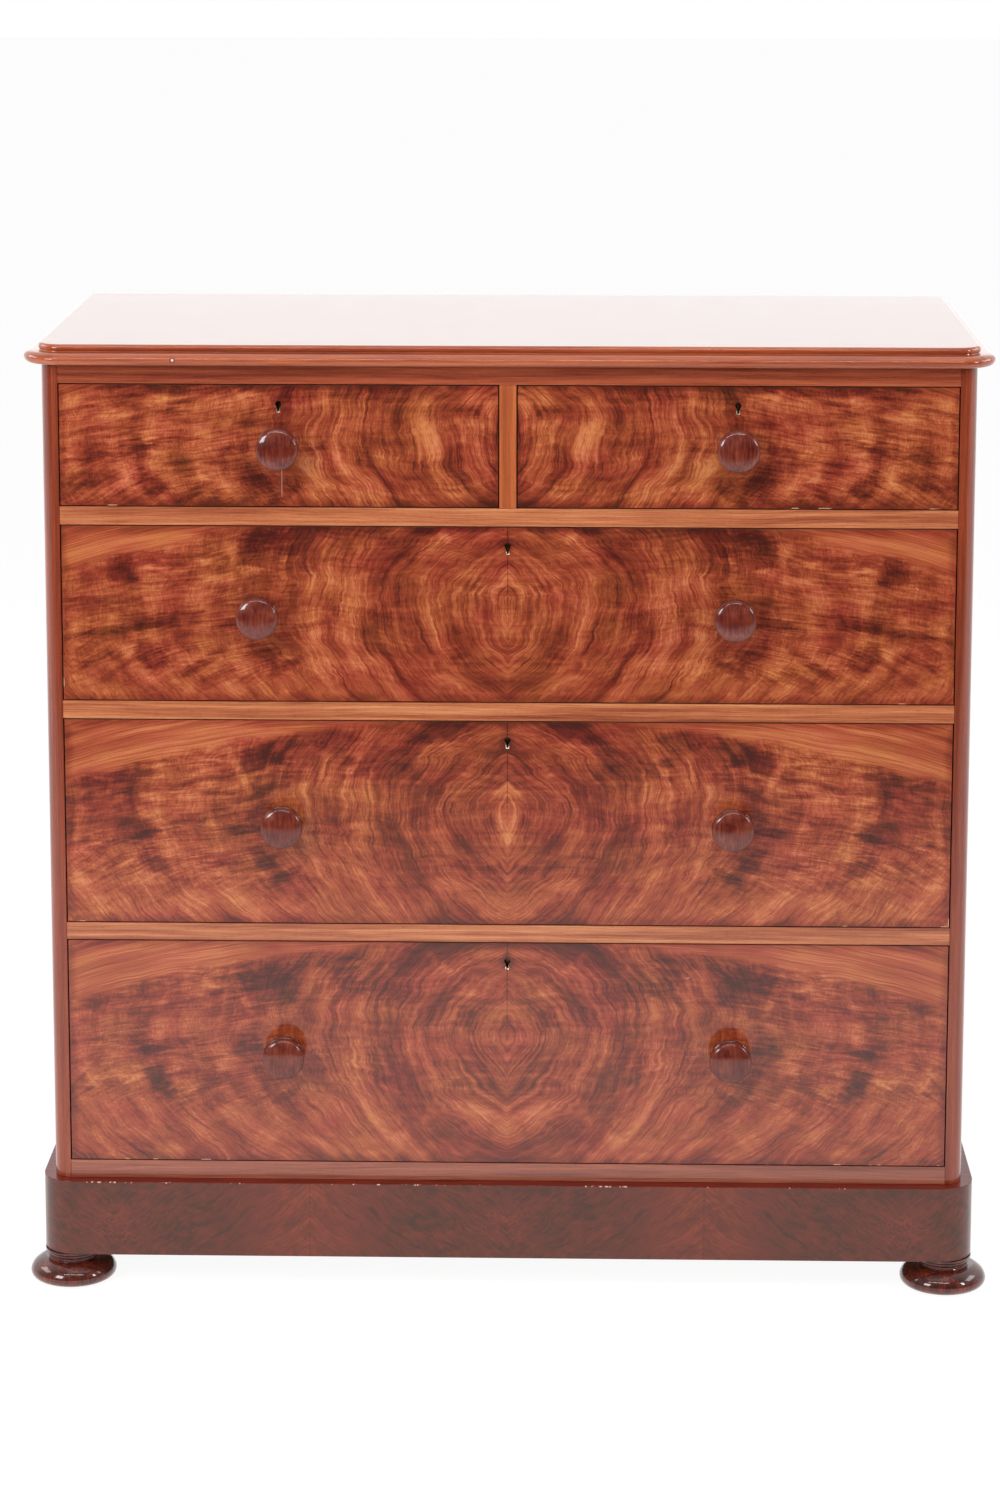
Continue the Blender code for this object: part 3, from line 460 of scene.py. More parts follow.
def flame_tone(f, x, z, middle, leaf):
    """The tone of a book-matched leaf of flame mahogany, mirrored at the chest's centre line.

    S is the distance out from the seam, and v the height over the figure's middle. The grain runs
    along nested ovals round a point past the seam. Reach is counted across the ovals and round_oval
    along them.
    """
    s, v = abs(x), z - middle
    sway = f.noise(s / 110, v / 80, leaf, detail=2)
    lift = f.noise(s / 90 + 7, v / 70, leaf, detail=2)
    s1, v1 = s + sway * 40, v + lift * 30
    outer = f.smooth(s, 60, 280)
    flatness = 0.68 + f.smooth(v1, 20, -30) * (0.12 - outer * 0.30)
    u, w = s1 + 80, (v1 - 12) / flatness
    reach = (u * u + w * w) ** 0.5
    round_oval = f.math("ARCTAN2", w, u) * reach
    calm = f.smooth(v + sway * 30, -56, -104)
    ripple = f.noise(reach / 90, round_oval / 32, leaf + 3, detail=2)
    reach = reach + ripple * (1 - calm * 0.6) * 16 + f.noise(s / 8, v / 8, leaf, detail=1) * 1.6

    broad = f.noise(reach / 28, round_oval / 190, leaf, detail=1)
    bands = f.noise(reach / 8, round_oval / 120, leaf + 7, detail=2, roughness=0.6)
    lines = f.noise(reach / 2.9, round_oval / 80, leaf + 9, detail=3, roughness=0.7)
    clouds = f.noise(s1 / 44, v1 / 36, leaf + 4, detail=4, roughness=0.6, distortion=0.4)
    plumes = f.noise(reach / 46, round_oval / 34, leaf + 6, detail=4, roughness=0.65)
    feathers = f.noise(round_oval / 7, reach / 60, leaf + 5, detail=3, roughness=0.6)
    growth = f.noise(reach / 5.2, round_oval / 130, leaf + 11, detail=2, roughness=0.6)
    fine = f.noise(reach / 1.4, round_oval / 11, leaf + 12, detail=1)
    nested = bands * 0.44 + lines * 0.48 - f.smooth(growth, 0.05, 0.14) * 0.10

    # Towards the outer end strokes take the place of the nested ovals
    outward = f.smooth(s + sway * 90 - abs(v) * 0.2, 225, 315) * f.smooth(v + sway * 40, -104, -62)
    strokes, wide_strokes = figure_strokes(f, s, v, leaf, sway, ripple)
    drawn = strokes * 0.52 + wide_strokes * 0.72
    tone = 0.50 + broad * 0.44 + nested * (1 - outward * 0.66 - calm * 0.25) + drawn * outward + fine * 0.26
    tone = tone + clouds * 0.44 + (plumes * 0.42 + feathers * 0.28) * (1 - calm * 0.6) + calm * 0.03

    dark_ring = f.smooth(abs(reach - 236), 26, 4)
    tone = tone - dark_ring * (0.14 + bands * 0.2) + f.smooth(abs(reach - 286), 30, 8) * 0.06
    fray = clouds * 1.6 + bands * 0.7 + feathers * 0.9 + wide_strokes * 1.4 + strokes * 0.5
    warped = (s + sway * 24, v + lift * 20)
    for patch in FIGURE_PATCHES:
        tone = tone + figure_patch(f, *warped, fray, patch) * patch[-1]

    # The darkest strokes lie along the middle and in the lower part
    dark = f.smooth(abs(v), 34, 4) * f.smooth(s, 170, 330)
    below = f.smooth(v, -20, -48) * f.smooth(v, -128, -84) * f.smooth(s, 210, 300)
    tone = tone - f.smooth(wide_strokes, 0.02, 0.20) * (dark * 0.20 + below * 0.12)

    golden, cover, above = golden_band(f, s, v, leaf, sway, lift, feathers)
    tone = tone + (golden - tone) * cover

    # Under the golden band the figure starts dark
    under = f.smooth(above, -46, -4) * (1 - cover) * f.smooth(s, 345, 320)
    seam = f.smooth(s, 1.0, 0.2) * f.smooth(v, -10, 60)
    return (tone - under * 0.10 - seam * 0.2) * 1.16 - 0.075


def scratch_veneer(f, colour, x, z, pores):
    """Draws the pale nicks over the veneer's colour."""
    for name, beside, up, half, tilt in NICKS:
        c, n = math.cos(math.radians(tilt)), math.sin(math.radians(tilt))
        dx, dz = x - beside, z - middle_of(f"{name}_front")[2] * MM - up
        reach = f.smooth(abs(dx * c + dz * n) + pores * 4, half, half - 1)
        scratch = reach * f.smooth(abs(dz * c - dx * n) + pores * 0.6, 0.5, 0.3)
        colour = f.mix(scratch * 0.55, colour, SCRATCHED_VENEER)
    return colour


def drawer_front_finish():
    """Flame veneer on the faces of the drawer fronts, and plain wood behind the veneer's edge."""
    f = Finish("drawer_front_mahogany", coat=1.0, coat_roughness=0.07)
    x, y, z = f.place()
    boxes = [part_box(f"{name}_front") for name in ROWS]
    low = by_row(f, z, [box[0].z * MM for box in boxes])
    high = by_row(f, z, [box[1].z * MM for box in boxes])
    middle = by_row(f, z, [box[1].z * MM - drop for box, drop in zip(boxes, FIGURE_DROPS)])
    leaf = by_row(f, z, LEAVES) + f.math("GREATER_THAN", x, 0.0) * 0.04
    tone = flame_tone(f, x, z, middle, leaf)

    # Years of grime make it darker along its edges and round the keyholes. Only the short fronts
    # have an end near the chest's middle
    no_end = -1000
    inner_end = by_row(f, z, (no_end, no_end, no_end, -boxes[-1][1].x * MM))
    across = f.math("MINIMUM", abs(x) - inner_end, boxes[0][1].x * MM - abs(x))
    edge = f.math("MINIMUM", across, f.math("MINIMUM", z - low, high - z))
    stain = f.noise(x / 40, z / 40, leaf, detail=3)
    tone = tone - f.smooth(edge + stain * 16, 13, 0) * 0.15
    keyhole_x = by_row(f, z, (0, 0, 0, -middle_of("short_left_drawer_front")[0] * MM))
    dx, dz = abs(x) - keyhole_x, z - high + KEYHOLE_DROP * MM - 3
    rubbed = f.smooth((dx * dx + dz * dz) ** 0.5 + stain * 12, 13, 5)
    tone = tone - rubbed * 0.13

    tone = (tone - 0.5) * by_row(f, z, VENEER_CONTRASTS) + by_row(f, z, VENEER_TONES)
    pores = f.noise(x / 1.1, z / 1.1, leaf, detail=1)
    tone = tone + pores * 0.16
    redness = f.noise(x / 75, z / 48, leaf + 1, detail=3, roughness=0.6) + by_row(f, z, VENEER_REDNESS)
    golden, red = f.ramp(tone, *GOLDEN_VENEER), f.ramp(tone, *RED_VENEER)
    colour = f.mix(f.smooth(redness, -0.34, 0.34), golden, red)

    # The veneer's edges are chipped, most of all low down towards the ends
    gaps = f.noise(x / 22, z / 22, leaf, detail=3)
    low_down = f.smooth(z - low, 60, 5) * f.smooth(abs(x), 90, 420) * 0.16
    chipped = f.smooth(gaps + low_down, 0.27, 0.31) * f.smooth(edge + pores, 1.1, 0.7)
    colour = f.mix(chipped, colour, CHIPPED_VENEER)
    colour = scratch_veneer(f, colour, x, z, pores)

    core_tone = 0.55 + f.noise(x / 90, z / 4, y / 4, detail=3) * 1.1
    behind = f.smooth(y, FRONT * MM + 0.8, FRONT * MM + 1.2)
    colour = f.mix(behind, colour, f.ramp(core_tone, *CORE_WOOD))
    f.feed(f.shader.inputs["Coat Weight"], 1 - behind)
    polish = f.noise(x / 45, z / 45, leaf, detail=2)
    roughness = 0.42 + polish * 0.1 + behind * 0.25
    return f.paint(colour, roughness, polish * 0.5 + pores * 0.05, 0.00012)


def straight_tone(f, along, across, deep, seed):
    """The tone of plain straight wood: broad and narrow stripes, fine lines and short dark pores."""
    wander = f.noise(along / 240, across / 60, deep / 60 + seed, detail=1) * 9
    line = across + wander
    broad = f.noise(along / 500, line / 24, deep / 24 + seed, detail=2)
    stripes = f.noise(along / 300, line / 6, deep / 6 + seed, detail=3, roughness=0.6)
    fine = f.noise(along / 50, line / 1.3, deep / 1.3, detail=2)
    pores = f.smooth(f.noise(along / 9, line / 0.5, deep / 0.5, detail=1), 0.10, 0.22)
    return broad * 0.5 + stripes * 0.8 + fine * 0.44 - pores * 0.16


def straight_finish(name, stops, grain="X", contrast=1.0, seed=0.0, edge_contrast=0.0):
    """Polished straight-grained mahogany, whose grain runs along X or Z.

    Edge contrast makes the grain livelier along the front of a deep board.
    """
    f = Finish(name, coat=1.0, coat_roughness=0.07)
    x, y, z = f.place()
    along, across, deep = {"X": (x, z, y), "Z": (z, x, y)}[grain]
    if edge_contrast:
        contrast = f.smooth(y, FRONT * MM + 30, FRONT * MM + 14) * edge_contrast + contrast
    tone = 0.5 + straight_tone(f, along, across, deep, seed) * contrast
    wave = f.noise(x / 50, y / 50, z / 50, detail=2)
    return f.paint(f.ramp(tone, *stops), 0.4 + wave * 0.12, wave * 0.4 + tone * 0.06, 0.00012)


def top_finish(name, stops, coat_roughness, contrast):
    """The top: straight-grained mahogany with a small old knock in its front edge."""
    f = Finish(name, coat=1.0, coat_roughness=coat_roughness)
    x, y, z = f.place()
    tone = 0.5 + straight_tone(f, x, y, z, 2.0) * contrast
    colour = f.ramp(tone, *stops)
    knock_x, knock_z = TOP_KNOCK
    away = ((x - knock_x) * (x - knock_x) + (z - knock_z) * (z - knock_z)) ** 0.5
    front = f.smooth(y, FRONT * MM - 10, FRONT * MM - 14)
    away = away + f.noise(x / 1.5, y / 1.5, z / 1.5, detail=1)
    colour = f.mix(f.smooth(away, 4.0, 2.6) * front, colour, BRUISED_WOOD)
    colour = f.mix(f.smooth(away, 1.9, 1.4) * front, colour, BARE_WOOD)
    wave = f.noise(x / 50, y / 50, z / 50, detail=2)
    return f.paint(colour, 0.4 + wave * 0.12, wave * 0.2 + tone * 0.03, 0.0001)


def softwood_finish(name, stops, grain, seed=0.0, knots=0.0):
    """Planed or sawn softwood without polish: stripes, brown knots and grime in soft patches."""
    f = Finish(name)
    x, y, z = f.place()
    along, across, deep = {"X": (x, z, y), "Y": (y, z, x), "Z": (z, x, y)}[grain]
    cells = f.node("ShaderNodeCombineXYZ", inputs=[along / 260, across / 70 + seed, deep / 300])
    settings = {"Vector": cells, "Scale": 1.0, "Randomness": 0.9}
    from_knot = f.node("ShaderNodeTexVoronoi", inputs=settings)
    bend = f.smooth(from_knot, 0.42, 0.0) * 26 * knots
    tone = 0.52 + straight_tone(f, along, across + bend, deep, seed)
    grime = f.noise(x / 120, y / 120, z / 120, detail=3)
    tone = tone + grime * 0.3
    colour = f.ramp(tone, *stops)
    ragged = from_knot + f.noise(along / 8, across / 8, deep / 8, detail=2) * 0.03
    colour = f.mix(f.smooth(ragged, 0.10, 0.07) * knots, colour, KNOT)
    return f.paint(colour, 0.68 + grime * 0.15, tone * 0.5 + grime * 0.3, 0.00015)


def plinth_tone(f, x, y, z):
    """The tone of dark veneer laid in mirrored panels, bright at every other joint."""
    run = abs(x) + y - PLINTH_LOW.y * MM
    turns = run / PLINTH_PANEL
    away = abs(turns - 2 * f.math("ROUND", turns / 2)) * PLINTH_PANEL
    bright = PLINTH_PANEL - away
    v = z - PLINTH_LOW.z * MM
    sway = f.noise(away / 60, v / 50, 3.0, detail=3)
    lift = f.noise(away / 50 + 9, v / 45, 3.0, detail=3)
    roof = v + bright * 0.75 + sway * 40
    lines = f.noise(roof / 2.8, (bright - v) / 60, 1.0, detail=3, roughness=0.65)
    bands = f.noise(roof / 12, (bright - v) / 40, 2.0, detail=3, roughness=0.6)
    burr = f.noise((x + y) / 30, v / 20, 5.0, detail=5, roughness=0.65, distortion=1.2)
    strokes = f.noise(roof / 5, (bright - v) / 110, 6.0, detail=3, roughness=0.6)
    veins = f.smooth(abs(f.noise((x + y) / 17, v / 14, 7.0, detail=3, distortion=1.2)), 0.035, 0.0)
    fray = burr * 190 + bands * 90
    glow = f.smooth(bright + lift * 60 + fray, 120, 20) * (0.17 + strokes * 0.5)
    knot = f.smooth(away + sway * 50 + fray, 70, 6) * f.smooth(abs(v - 42 + lift * 50) + fray * 0.3, 50, 8)
    tone = 0.39 + glow + knot * (0.05 + veins * 0.18) + lines * 0.48 + bands * 0.46 + burr * 0.60
    return tone - f.smooth(bright, 1.2, 0.2) * 0.12


def plinth_finish():
    """Dark veneer outside, a red ledge on top with a worn arris, and bare pine inside."""
    f = Finish("plinth_veneer", coat=1.0, coat_roughness=0.12)
    x, y, z = f.place()
    colour = f.ramp(plinth_tone(f, x, y, z), *PLINTH_VENEER)
    top_height = PLINTH_HIGH.z * MM
    top = f.smooth(z, top_height - 0.9, top_height - 0.6)
    ledge = f.ramp(0.5 + f.noise(x / 60, y / 3, 1.0, detail=3), *LEDGE_WOOD)
    colour = f.mix(top, colour, ledge)
    knocks = f.noise(x / 4, y / 4, 8.0, detail=1) + f.noise(x / 90, y / 90, 9.0) * 0.9
    knocks = f.smooth(knocks, 0.17, 0.21)
    front = f.smooth(y, FRONT * MM - 14, FRONT * MM - 16)
    arris = f.smooth(abs(z - top_height + 0.6), 0.9, 0.5) * front
    colour = f.mix(arris * knocks, colour, WORN_ARRIS)
    inside = f.smooth(f.math("MAXIMUM", abs(x) - PLINTH_INSIDE_X, PLINTH_INSIDE_Y - y), 1, 0)
    raw = f.ramp(0.5 + straight_tone(f, x, z, y, 1.0), *PINE_WOOD)
    colour = f.mix(inside, colour, raw)
    f.feed(f.shader.inputs["Coat Weight"], (1 - inside) * (0.72 - top * 0.3))
    wave = f.noise(x / 40, y / 40, z / 40, detail=2)
    return f.paint(colour, 0.45 + wave * 0.1, wave * 0.5, 0.00012)


def turned_finish(name, stops, middle_tone, coat_roughness, face_sheen_tone=0.0):
    """Dark red turned wood under polish, with upright grain.

    Feet are paler where they are worn near the floor. Knob faces are paler than the turnings behind them: a
    painted sheen of the polish.
    """
    f = Finish(name, coat=1.0, coat_roughness=coat_roughness)
    x, y, z = f.place()
    wander = f.noise(x / 18, y / 18, z / 30, detail=1) * 5
    stripes = f.noise((x + wander) / 2.6, y / 2.6, z / 46, detail=3, roughness=0.6)
    fine = f.noise((x + wander) / 0.6, y / 0.6, z / 12, detail=1)
    clouds = f.noise(x / 16, y / 16, z / 16, detail=3)
    worn = f.smooth(z, 17, 5)
    tone = middle_tone + stripes * 0.9 + fine * 0.3 + clouds * 0.8 + worn * 0.26
    # A painted sheen: the front faces of the knobs are made paler than the wood behind them
    tone = tone + f.smooth(y, FRONT * MM - 28, FRONT * MM - 32) * face_sheen_tone
    colour = f.ramp(tone, *stops)
    return f.paint(colour, 0.38 + clouds * 0.1, stripes * 0.3 + clouds * 0.6, 0.00008)


def metal_finish(name, colour, dull, roughness):
    """Old metal: bright where it is rubbed and dull where it isn't."""
    f = Finish(name, metallic=1.0)
    x, y, z = f.place()
    clouds = f.noise(x / 6, y / 6, z / 6, detail=4, roughness=0.65)
    scratches = f.noise(x / 9, y / 9, z / 0.5, detail=2)
    tarnish = f.smooth(clouds, -0.12, 0.16)
    return f.paint(f.mix(tarnish, colour, dull), roughness + clouds * 0.3, clouds + scratches, 0.00005)


def liner_finish():
    """Blackened brass, rubbed bright by the key round the lower part of a keyhole."""
    f = Finish("blackened_brass", metallic=1.0)
    x, y, z = f.place()
    high = by_row(f, z, [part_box(f"{name}_front")[1].z * MM for name in ROWS])
    wear = f.noise(x / 2, y / 2, z / 2)
    rubbed = f.smooth(z - high + KEYHOLE_DROP * MM + wear * 4, -1, -5)
    return f.paint(f.mix(rubbed, BLACKENED_BRASS, RUBBED_BRASS), 0.3 + wear * 0.2)


finishes = dict(
    front=drawer_front_finish(),
    rail=straight_finish("rail_mahogany", RAIL_WOOD, contrast=1.5),
    top_rail=straight_finish("top_rail_mahogany_painted_shade", TOP_RAIL_SHADED_WOOD, contrast=1.4, seed=7.0),
    bottom_rail=straight_finish("bottom_rail_mahogany_painted_shade", BOTTOM_RAIL_SHADED_WOOD, contrast=1.3, seed=5.0),
    side=straight_finish("side_mahogany", SIDE_WOOD, grain="Z", contrast=0.5, seed=4.0, edge_contrast=0.6),
    divider=straight_finish("divider_mahogany", DIVIDER_WOOD, grain="Z", seed=9.0),
    top=top_finish("top_mahogany_painted_shade", TOP_FLAT_SHADED_WOOD, coat_roughness=0.13, contrast=0.5),
    top_edge=top_finish("top_edge_mahogany", TOP_EDGE_WOOD, coat_roughness=0.05, contrast=1.2),
    plinth=plinth_finish(),
    knob=turned_finish("knob_mahogany", KNOB_WOOD, middle_tone=0.24, coat_roughness=0.06, face_sheen_tone=0.24),
    foot=turned_finish("foot_mahogany", FOOT_WOOD, middle_tone=0.44, coat_roughness=0.06),
    lining_long=softwood_finish("lining_along", LINING_WOOD, "Y"),
    lining_across=softwood_finish("lining_across", LINING_WOOD, "X", seed=6.0, knots=0.5),
    pine_long=softwood_finish("pine_along", PINE_WOOD, "Y"),
    pine_across=softwood_finish("pine_across", PINE_WOOD, "X", seed=3.0, knots=1.0),
    pine_upright=softwood_finish("pine_upright", PINE_WOOD, "Z", seed=5.0, knots=1.0),
    brass=metal_finish("aged_brass", BRASS, DULL_BRASS, roughness=0.32),
    liner=liner_finish(),
    steel=metal_finish("filed_steel", STEEL, DULL_STEEL, roughness=0.36),
)


# Pieces


def finish_mesh(name, solid, look, body, crease=30):
    """Turns a bmesh into a piece of the chest that rides on a body."""
    bmesh.ops.recalc_face_normals(solid, faces=solid.faces)
    mesh = bpy.data.meshes.new(name)
    solid.to_mesh(mesh)
    solid.free()
    mesh.shade_smooth()
    mesh.set_sharp_from_angle(angle=math.radians(crease))
    mesh.materials.append(finishes[look])
    made = bpy.data.objects.new(name, mesh)
    bpy.context.scene.collection.objects.link(made)
    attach(made, body)
    return made


def arc(centre, radius, start, end, steps):
    """Points on an arc, with its angles in degrees."""
    angles = [math.radians(start + (end - start) * i / steps) for i in range(steps + 1)]
    return [(centre[0] + radius * math.cos(a), centre[1] + radius * math.sin(a)) for a in angles]


def scaled(points, across, along=1.0):
    """The points of a profile at their real size."""
    return [(radius * across, distance * along) for radius, distance in points]


def flowing(points, steps=6):
    """A smooth run of points through the given ones."""
    padded = [points[0], *points, points[-1]]
    run = []
    for four in zip(padded, padded[1:], padded[2:], padded[3:]):
        for i in range(steps):
            t = i / steps
            weights = (
                -t + 2 * t * t - t**3,
                2 - 5 * t * t + 3 * t**3,
                t + 4 * t * t - 3 * t**3,
                t**3 - t * t,
            )
            run.append(tuple(sum(w * p[k] for w, p in zip(weights, four)) / 2 for k in range(2)))
    return run + [points[-1]]


def turned(profile, centre, axis, steps=96):
    """Spins (radius, distance) points, which begin and end on the axis, once round."""
    across = Vector((1, 0, 0))
    solid = bmesh.new()
    line = [solid.verts.new(centre + across * radius + axis * along) for radius, along in profile]
    edges = [solid.edges.new(pair) for pair in zip(line, line[1:])]
    bmesh.ops.spin(solid, geom=line + edges, cent=centre, axis=axis, steps=steps, angle=math.tau)
    bmesh.ops.remove_doubles(solid, verts=solid.verts, dist=SAME_POINT)
    return solid


def loft(rings, solid=None):
    """A closed solid through rings of points, each with as many points as the last."""
    solid = solid or bmesh.new()
    loops = [[solid.verts.new(point) for point in ring] for ring in rings]
    for lower, upper in zip(loops, loops[1:]):
        for i, vertex in enumerate(lower):
            solid.faces.new((lower[i - 1], vertex, upper[i], upper[i - 1]))
    solid.faces.new(loops[0])
    solid.faces.new(loops[-1])
    return solid


def top_edge_profile(thick):
    """Insets and heights from the underside up: a bullnose, a ledge, and an ovolo up to the flat."""
    nose = NOSE_HEIGHT / 2
    edge = [(nose - a, nose + b) for a, b in arc((0, 0), nose, -84, 0, 11)]
    edge += [(NOSE_RUN - a * NOSE_RUN / nose, nose + b) for a, b in arc((0, 0), nose, 6, 86, 11)]
    edge += [(inset, NOSE_HEIGHT + height) for inset, height in LEDGE_END]
    ovolo = (thick - NOSE_HEIGHT) / 2
    middle = NOSE_HEIGHT + ovolo
    edge += [(OVOLO_INSET + ovolo - a, middle + b) for a, b in arc((0, 0), ovolo, -52, 54, 12)]
    return edge + [(inset, thick + height) for inset, height in TOP_ARRIS]


def make_top():
    """The moulded top, with rounded front corners and a straight back edge."""
    low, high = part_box("top_board")
    rings = []
    for inset, height in top_edge_profile(high.z - low.z):
        radius = TOP_CORNER_RADIUS - inset
        right = arc((high.x - inset - radius, low.y + inset + radius), radius, -90, 0, 18)
        left = [(-x, y) for x, y in reversed(right)]
        plan = [(inset - high.x, high.y), *left, *right, (high.x - inset, high.y)]
        rings.append([(x, y, low.z + height) for x, y in plan])
    board = finish_mesh("moulded_top", loft(rings), "top_edge", "case")
    board.data.materials.append(finishes["top"])
    for face in board.data.polygons:
        face.material_index = int(face.center.z > high.z - 0.0001)
    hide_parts("top_board")


def knob_profile(radius, reach, dowel):
    """From the dowel outwards: base, neck, flared underside, two beads, rim and a low dome."""
    base = [(0, -dowel), (KNOB_DOWEL_RADIUS, -dowel), (KNOB_DOWEL_RADIUS, KNOB_BASE[0][1]), *KNOB_BASE]
    profile = base + flowing(KNOB_NECK) + flowing([KNOB_NECK_END, *scaled(KNOB_FLARE, radius, reach)])
    for part in (KNOB_INNER_BEAD, KNOB_OUTER_BEAD, KNOB_RIM + KNOB_DOME):
        profile += flowing(scaled(part, radius, reach))
    return profile


def make_knob(node, body):
    low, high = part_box(node)
    x, _, z = middle_of(node)
    profile = knob_profile((high.x - low.x) / 2, FRONT - low.y, high.y - FRONT)
    turning = turned(profile, Vector((x, FRONT, z)), Vector((0, -1, 0)))
    knob = finish_mesh(f"{node}_turning", turning, "knob", body)
    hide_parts(node)


def foot_profile(radius, height, peg_top):
    """From the floor up: the pad, a flattened bun, a cove, a bead, a stepped collar and the peg."""
    collar_top = height - FOOT_GAP
    bun = flowing(scaled(FOOT_BUN_BELOW + FOOT_BUN_ABOVE, radius))
    collar = scaled((*FOOT_COVE, *FOOT_BEAD, *FOOT_COLLAR, (FOOT_COLLAR[-1][0], collar_top)), radius)
    peg = [(FOOT_PEG_RADIUS, collar_top), (FOOT_PEG_RADIUS, peg_top), (0, peg_top)]
    return [(0, 0)] + bun + collar + peg


def make_feet():
    for node in FEET:
        low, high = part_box(node)
        x, y, _ = middle_of(node)
        profile = foot_profile((high.x - low.x) / 2, PLINTH_LOW.z, high.z)
        turning = turned(profile, Vector((x, y, 0)), Vector((0, 0, 1)))
        foot = finish_mesh(f"{node}_turning", turning, "foot", "case")
        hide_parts(node)


def keyhole_outline(x, top, inset):
    """A round hole over a slot, drawn in by an inset."""
    radius, half_slot = KEYHOLE_RADIUS - inset, KEYHOLE_SLOT / 2 - inset
    centre = top - KEYHOLE_DROP + KEYHOLE_HEIGHT / 2 - KEYHOLE_RADIUS
    bottom = top - KEYHOLE_DROP - KEYHOLE_HEIGHT / 2 + inset
    meet = math.degrees(math.asin(half_slot / radius))
    points = arc((x, centre), radius, meet - 90, 270 - meet, 24)
    return points + [(x - half_slot, bottom), (x + half_slot, bottom)]


def make_keyhole_liner(name):
    """A thin brass liner in the keyhole, whose rounded rim lies on the veneer."""
    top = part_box(f"{name}_front")[1].z
    x = middle_of(f"{name}_lock")[0]
    solid = bmesh.new()
    loops = []
    for inset, depth in LINER_SECTION:
        outline = keyhole_outline(x, top, inset)
        loops.append([solid.verts.new((px, FRONT + depth, pz)) for px, pz in outline])
    for a, b in zip(loops, loops[1:] + loops[:1]):
        for i in range(len(a)):
            solid.faces.new((a[i - 1], a[i], b[i], b[i - 1]))
    finish_mesh(f"{name}_keyhole_liner", solid, "liner", name, crease=75)


def screw_head(solid, centre, axis, radius, turn):
    """A slightly domed head in two halves, with the plate showing in the slot between them."""
    half = SCREW_SLOT_HALF * radius
    side = axis.orthogonal().normalized()
    up = axis.cross(side)
    spin = Matrix.Rotation(turn, 3, axis)
    side, up = spin @ side, spin @ up
    lean = math.degrees(math.asin(SCREW_SLOT_HALF))
    for way in (1, -1):
        outline = arc((0, 0), radius, lean, 180 - lean, 14)
        rings = []
        for share, height in SCREW_RINGS:
            ring = [(px * share, max(py * share, half)) for px, py in outline]
            raised = axis * (height * radius)
            rings.append([centre + side * px + up * py * way + raised for px, py in ring])
        loft(rings, solid)


def make_lock_screws(name, chance):
    """Four screws that hold the lock's plate to the back of the front."""
    low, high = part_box(f"{name}_lock")
    face = high.y + 0.0001
    solid = bmesh.new()
    for x in (low.x + SCREW_FROM_SIDE, high.x - SCREW_FROM_SIDE):
        for z in (low.z + SCREW_FROM_BOTTOM, high.z - SCREW_FROM_TOP):
            turn = chance.uniform(0, 3)
            screw_head(solid, Vector((x, face, z)), Vector((0, 1, 0)), SCREW_RADIUS, turn)
    finish_mesh(f"{name}_lock_screws", solid, "steel", name)


def make_back_nails(chance):
    """Two cut nails across each board of the back, at its top, its middle and its bottom."""
    low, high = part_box("back_panel")
    board = (high.x - low.x) / BACK_BOARDS
    half, tall = NAIL_HALF
    plan = [(-half, -tall), (half, -tall), (half, tall), (-half, tall)]
    solid = bmesh.new()
    for i in range(BACK_BOARDS):
        for x in [low.x + board * (i + share) for share in NAILS_ACROSS]:
            for z in (low.z + NAIL_FROM_END, high.z - NAIL_FROM_END, (low.z + high.z) / 2):
                middle = (x + chance.uniform(-0.004, 0.004), z + chance.uniform(-0.003, 0.003))
                rings = []
                for share, height in NAIL_RINGS:
                    y = high.y + height
                    rings.append([(middle[0] + a * share, y, middle[1] + b * share) for a, b in plan])
                loft(rings, solid)
    finish_mesh("back_nails", solid, "steel", "case")


def soften(node, look, width):
    """Gives a solid its finish, and takes the sharpness off its edges."""
    mesh = node.data
    mesh.materials.clear()
    mesh.materials.append(finishes[look])
    if "custom_normal" in mesh.attributes:
        mesh.attributes.remove(mesh.attributes["custom_normal"])
    mesh.shade_smooth()
    weld = node.modifiers.new("weld", "WELD")
    weld.merge_threshold = SAME_POINT
    flat = node.modifiers.new("flat_faces", "DECIMATE")
    flat.decimate_type = "DISSOLVE"
    flat.angle_limit = math.radians(1)
    arris = node.modifiers.new("arris", "BEVEL")
    arris.width = width
    arris.segments = 2
    arris.limit_method = "ANGLE"
    arris.angle_limit = math.radians(30)
    arris.harden_normals = True


def dress_case():
    for name, look, width in CASE_LOOKS:
        soften(nodes[name], look, width)


def dress_drawer(name, chance):
    for part, look, width in DRAWER_LOOKS:
        soften(nodes[f"{name}_{part}"], look, width)
    for node in nodes:
        if node.startswith(name) and node.endswith("knob"):
            make_knob(node, name)
    make_keyhole_liner(name)
    make_lock_screws(name, chance)


# Studio

# Brightness of the soft light all round, and of the room and the backdrop as the polish mirrors them
AMBIENT = 0.30
ROOM_GLOSS = 0.12
BACKDROP_GLOSS = 1.0

# The paper on the floor: how wide it lies and how white it is, its own glow as the camera sees it
# and that glow's share beside its shadows, its brightness in the polish, and where the polish
# begins and ends to mirror it, in millimetres
PAPER_SIZE = 60
PAPER_WHITE = (240, 240, 240)
PAPER_GLOW = 1.1
PAPER_GLOW_SHARE = 0.85
PAPER_GLOSS = 1.2
PAPER_MIRRORED = (-3700, -1000)

